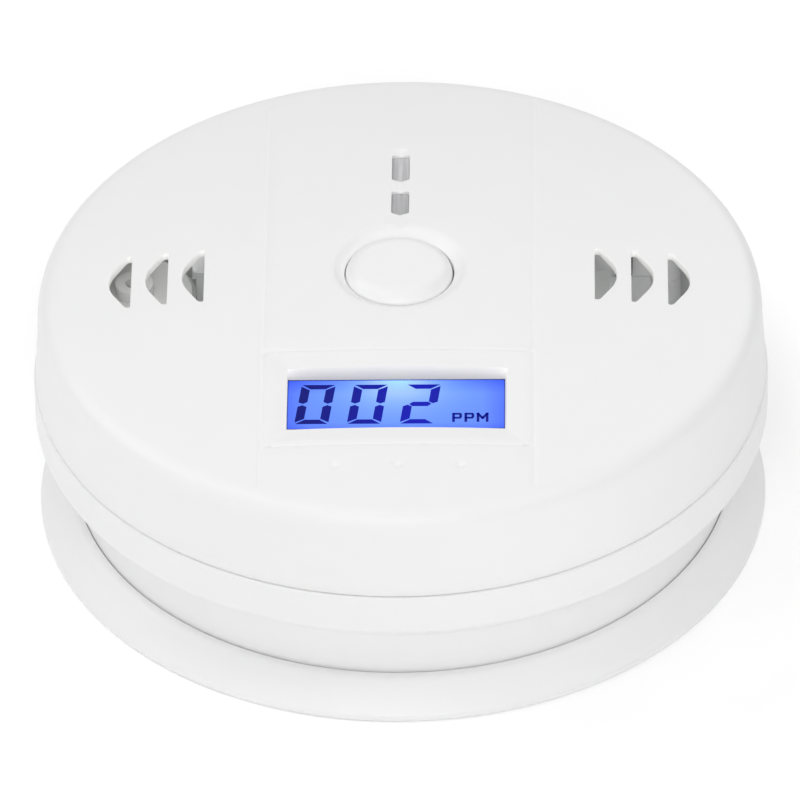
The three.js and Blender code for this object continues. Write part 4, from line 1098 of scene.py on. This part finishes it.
FINISHES = [  # slot, material, nodes
    ("black_plastic", black_plastic, "switch_body switch_plunger microcontroller"),
    ("black_plastic", black_plastic, "capacitor booster_coil"),
    ("circuit_board", circuit_board, "circuit_board"),
    ("bright_metal", bright_metal, "co_sensor battery_spring_1 battery_spring_2 battery_spring_3"),
    ("bright_metal", bright_metal, "contact_negative contact_bridge_right contact_bridge_left"),
    ("bright_metal", bright_metal, "contact_positive"),
    ("filter_felt", filter_felt, "sensor_filter"),
    ("light_guide", light_guide, "lcd_backlight"),
    ("contact_rubber", contact_rubber, "lcd_contact_strip"),
    ("inner_plastic", inner_plastic, "lcd_frame sounder_case sounder_base"),
    ("brass", brass, "piezo_disc"),
    ("black_wire", black_wire, "sounder_lead_1 battery_lead_negative"),
    ("red_wire", red_wire, "sounder_lead_2 battery_lead_positive"),
    ("red_led", red_led, "alarm_led"),
    ("green_led", green_led, "power_led"),
    ("battery_jacket", battery_jacket, "battery_1 battery_2 battery_3"),
    ("screw_steel", screw_steel, "housing_screw_1 housing_screw_2 housing_screw_3"),
    ("screw_steel", screw_steel, "board_screw_1 board_screw_2 board_screw_3 board_screw_4"),
]
for slot, material, names in FINISHES:
    for name in names.split():
        painted(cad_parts[name], material)


# ---- Camera, floor and light ----


def set_camera():
    """A long lens at the photograph's angle: 38 degrees down, almost square on."""
    pitch, yaw, roll = math.radians(38.27), 0.020, -0.018
    distance, to_left, downward = 1530.0, 0.146, 3.383  # millimetres
    level = Vector((math.cos(yaw), math.sin(yaw), 0.0))
    ahead = Vector((-math.sin(yaw), math.cos(yaw), 0.0))
    forward = ahead * math.cos(pitch) - Vector((0.0, 0.0, math.sin(pitch)))
    right = math.cos(roll) * level + math.sin(roll) * level.cross(forward)
    up = right.cross(forward)
    middle = Vector((0, 0, 20))
    centre = middle - to_left * right - downward * up - distance * forward
    data = bpy.data.cameras.new("camera")
    data.sensor_width = 36.0
    data.lens = 504.95
    data.clip_start, data.clip_end = 0.1, 20.0
    camera = linked("camera", data)
    turned = Matrix((right, up, -forward)).transposed().to_4x4()
    camera.matrix_world = Matrix.Translation(centre * MM) @ turned
    bpy.context.scene.camera = camera


def set_floor():
    """A plain white floor just under the object, 6 m square."""
    half, z = 3.0, -0.0002
    verts = [(-half, -half, z), (half, -half, z), (half, half, z), (-half, half, z)]
    floor = make_object("floor", verts, [[0, 1, 2, 3]], scale=1.0)
    s = Shader("floor")
    s.link(s.ramp(s.noise(30.0), [(0.3, (0.93, 0.93, 0.93)), (0.7, (0.95, 0.95, 0.95))]), "Base Color")
    s.set(Roughness=0.9, Emission_Strength=0.14, Emission_Color=(1, 1, 1, 1), Specular_IOR_Level=0.0)
    floor.data.materials.append(s.material)


def disk_lamp(name, size, power):
    data = bpy.data.lights.new(name, "AREA")
    data.shape = "DISK"
    data.size = size
    data.energy = power
    return linked(name, data)


def area_light(name, direction, power):
    """A soft lamp that faces the object from the direction (azimuth, elevation) in degrees."""
    azimuth, elevation = (math.radians(a) for a in direction)
    level = Vector((math.sin(azimuth), -math.cos(azimuth), 0.0))
    back = level * math.cos(elevation) + Vector((0.0, 0.0, math.sin(elevation)))
    lamp = disk_lamp(name, LAMP_SIZE, power)
    lamp.location = back * LAMP_DISTANCE + Vector((0, 0, 0.02))
    lamp.rotation_mode = "QUATERNION"
    lamp.rotation_quaternion = back.to_track_quat("Z", "Y")


LAMP_DISTANCE, LAMP_SIZE = 1.3, 0.7  # metres
LAMPS = [  # name, (azimuth, elevation), watts
    ("left", (-100, 35), 2.9),
    ("left back", (-130, 50), 1.85),
    ("left high", (-60, 70), 2.05),
    ("front", (0, 34), 5.15),
    ("right", (60, 45), 2.05),
    ("right high", (60, 70), 1.8),
    ("right back", (150, 30), 2.0),
    ("back", (180, 45), 0.9),
]


INSIDE_LAMPS = [  # x, y, z, tilt in degrees towards +Y, diameter in mm, watts on the left and right
    (34.0, 3.0, 33.6, 0.0, 22.0, (0.0006, 0.0014)),
    (32.0, -16.0, 28.0, 70.0, 10.0, (0.0006, 0.0005)),
    (28.0, 25.0, 32.0, 0.0, 20.0, (0.0006, 0.0005)),
    (27.0, 30.0, 19.0, 0.0, 6.0, (0.0003, 0.0002)),
]


def set_light():
    """A white world, soft lamps round the object and small ones inside it."""
    world = bpy.data.worlds.new("studio")
    world.use_nodes = True
    background = world.node_tree.nodes["Background"]
    background.inputs["Color"].default_value = (1.0, 1.0, 1.0, 1.0)
    background.inputs["Strength"].default_value = 0.28
    bpy.context.scene.world = world
    for name, direction, power in LAMPS:
        area_light(name, direction, power)
    inside_lamps()
    bpy.context.scene.view_settings.view_transform = "Standard"


def inside_lamps():
    """Stand in for the light that comes through the thin white shell. A tilt of 0 shines down."""
    for x, y, z, tilt, size, powers in INSIDE_LAMPS:
        for side, power in zip((-1, 1), powers):
            lamp = disk_lamp("inside", size * MM, power)
            lamp.location = (side * x * MM, y * MM, z * MM)
            lamp.rotation_euler = (math.radians(tilt), 0.0, 0.0)
            lamp.visible_camera = False


set_camera()
set_floor()
set_light()
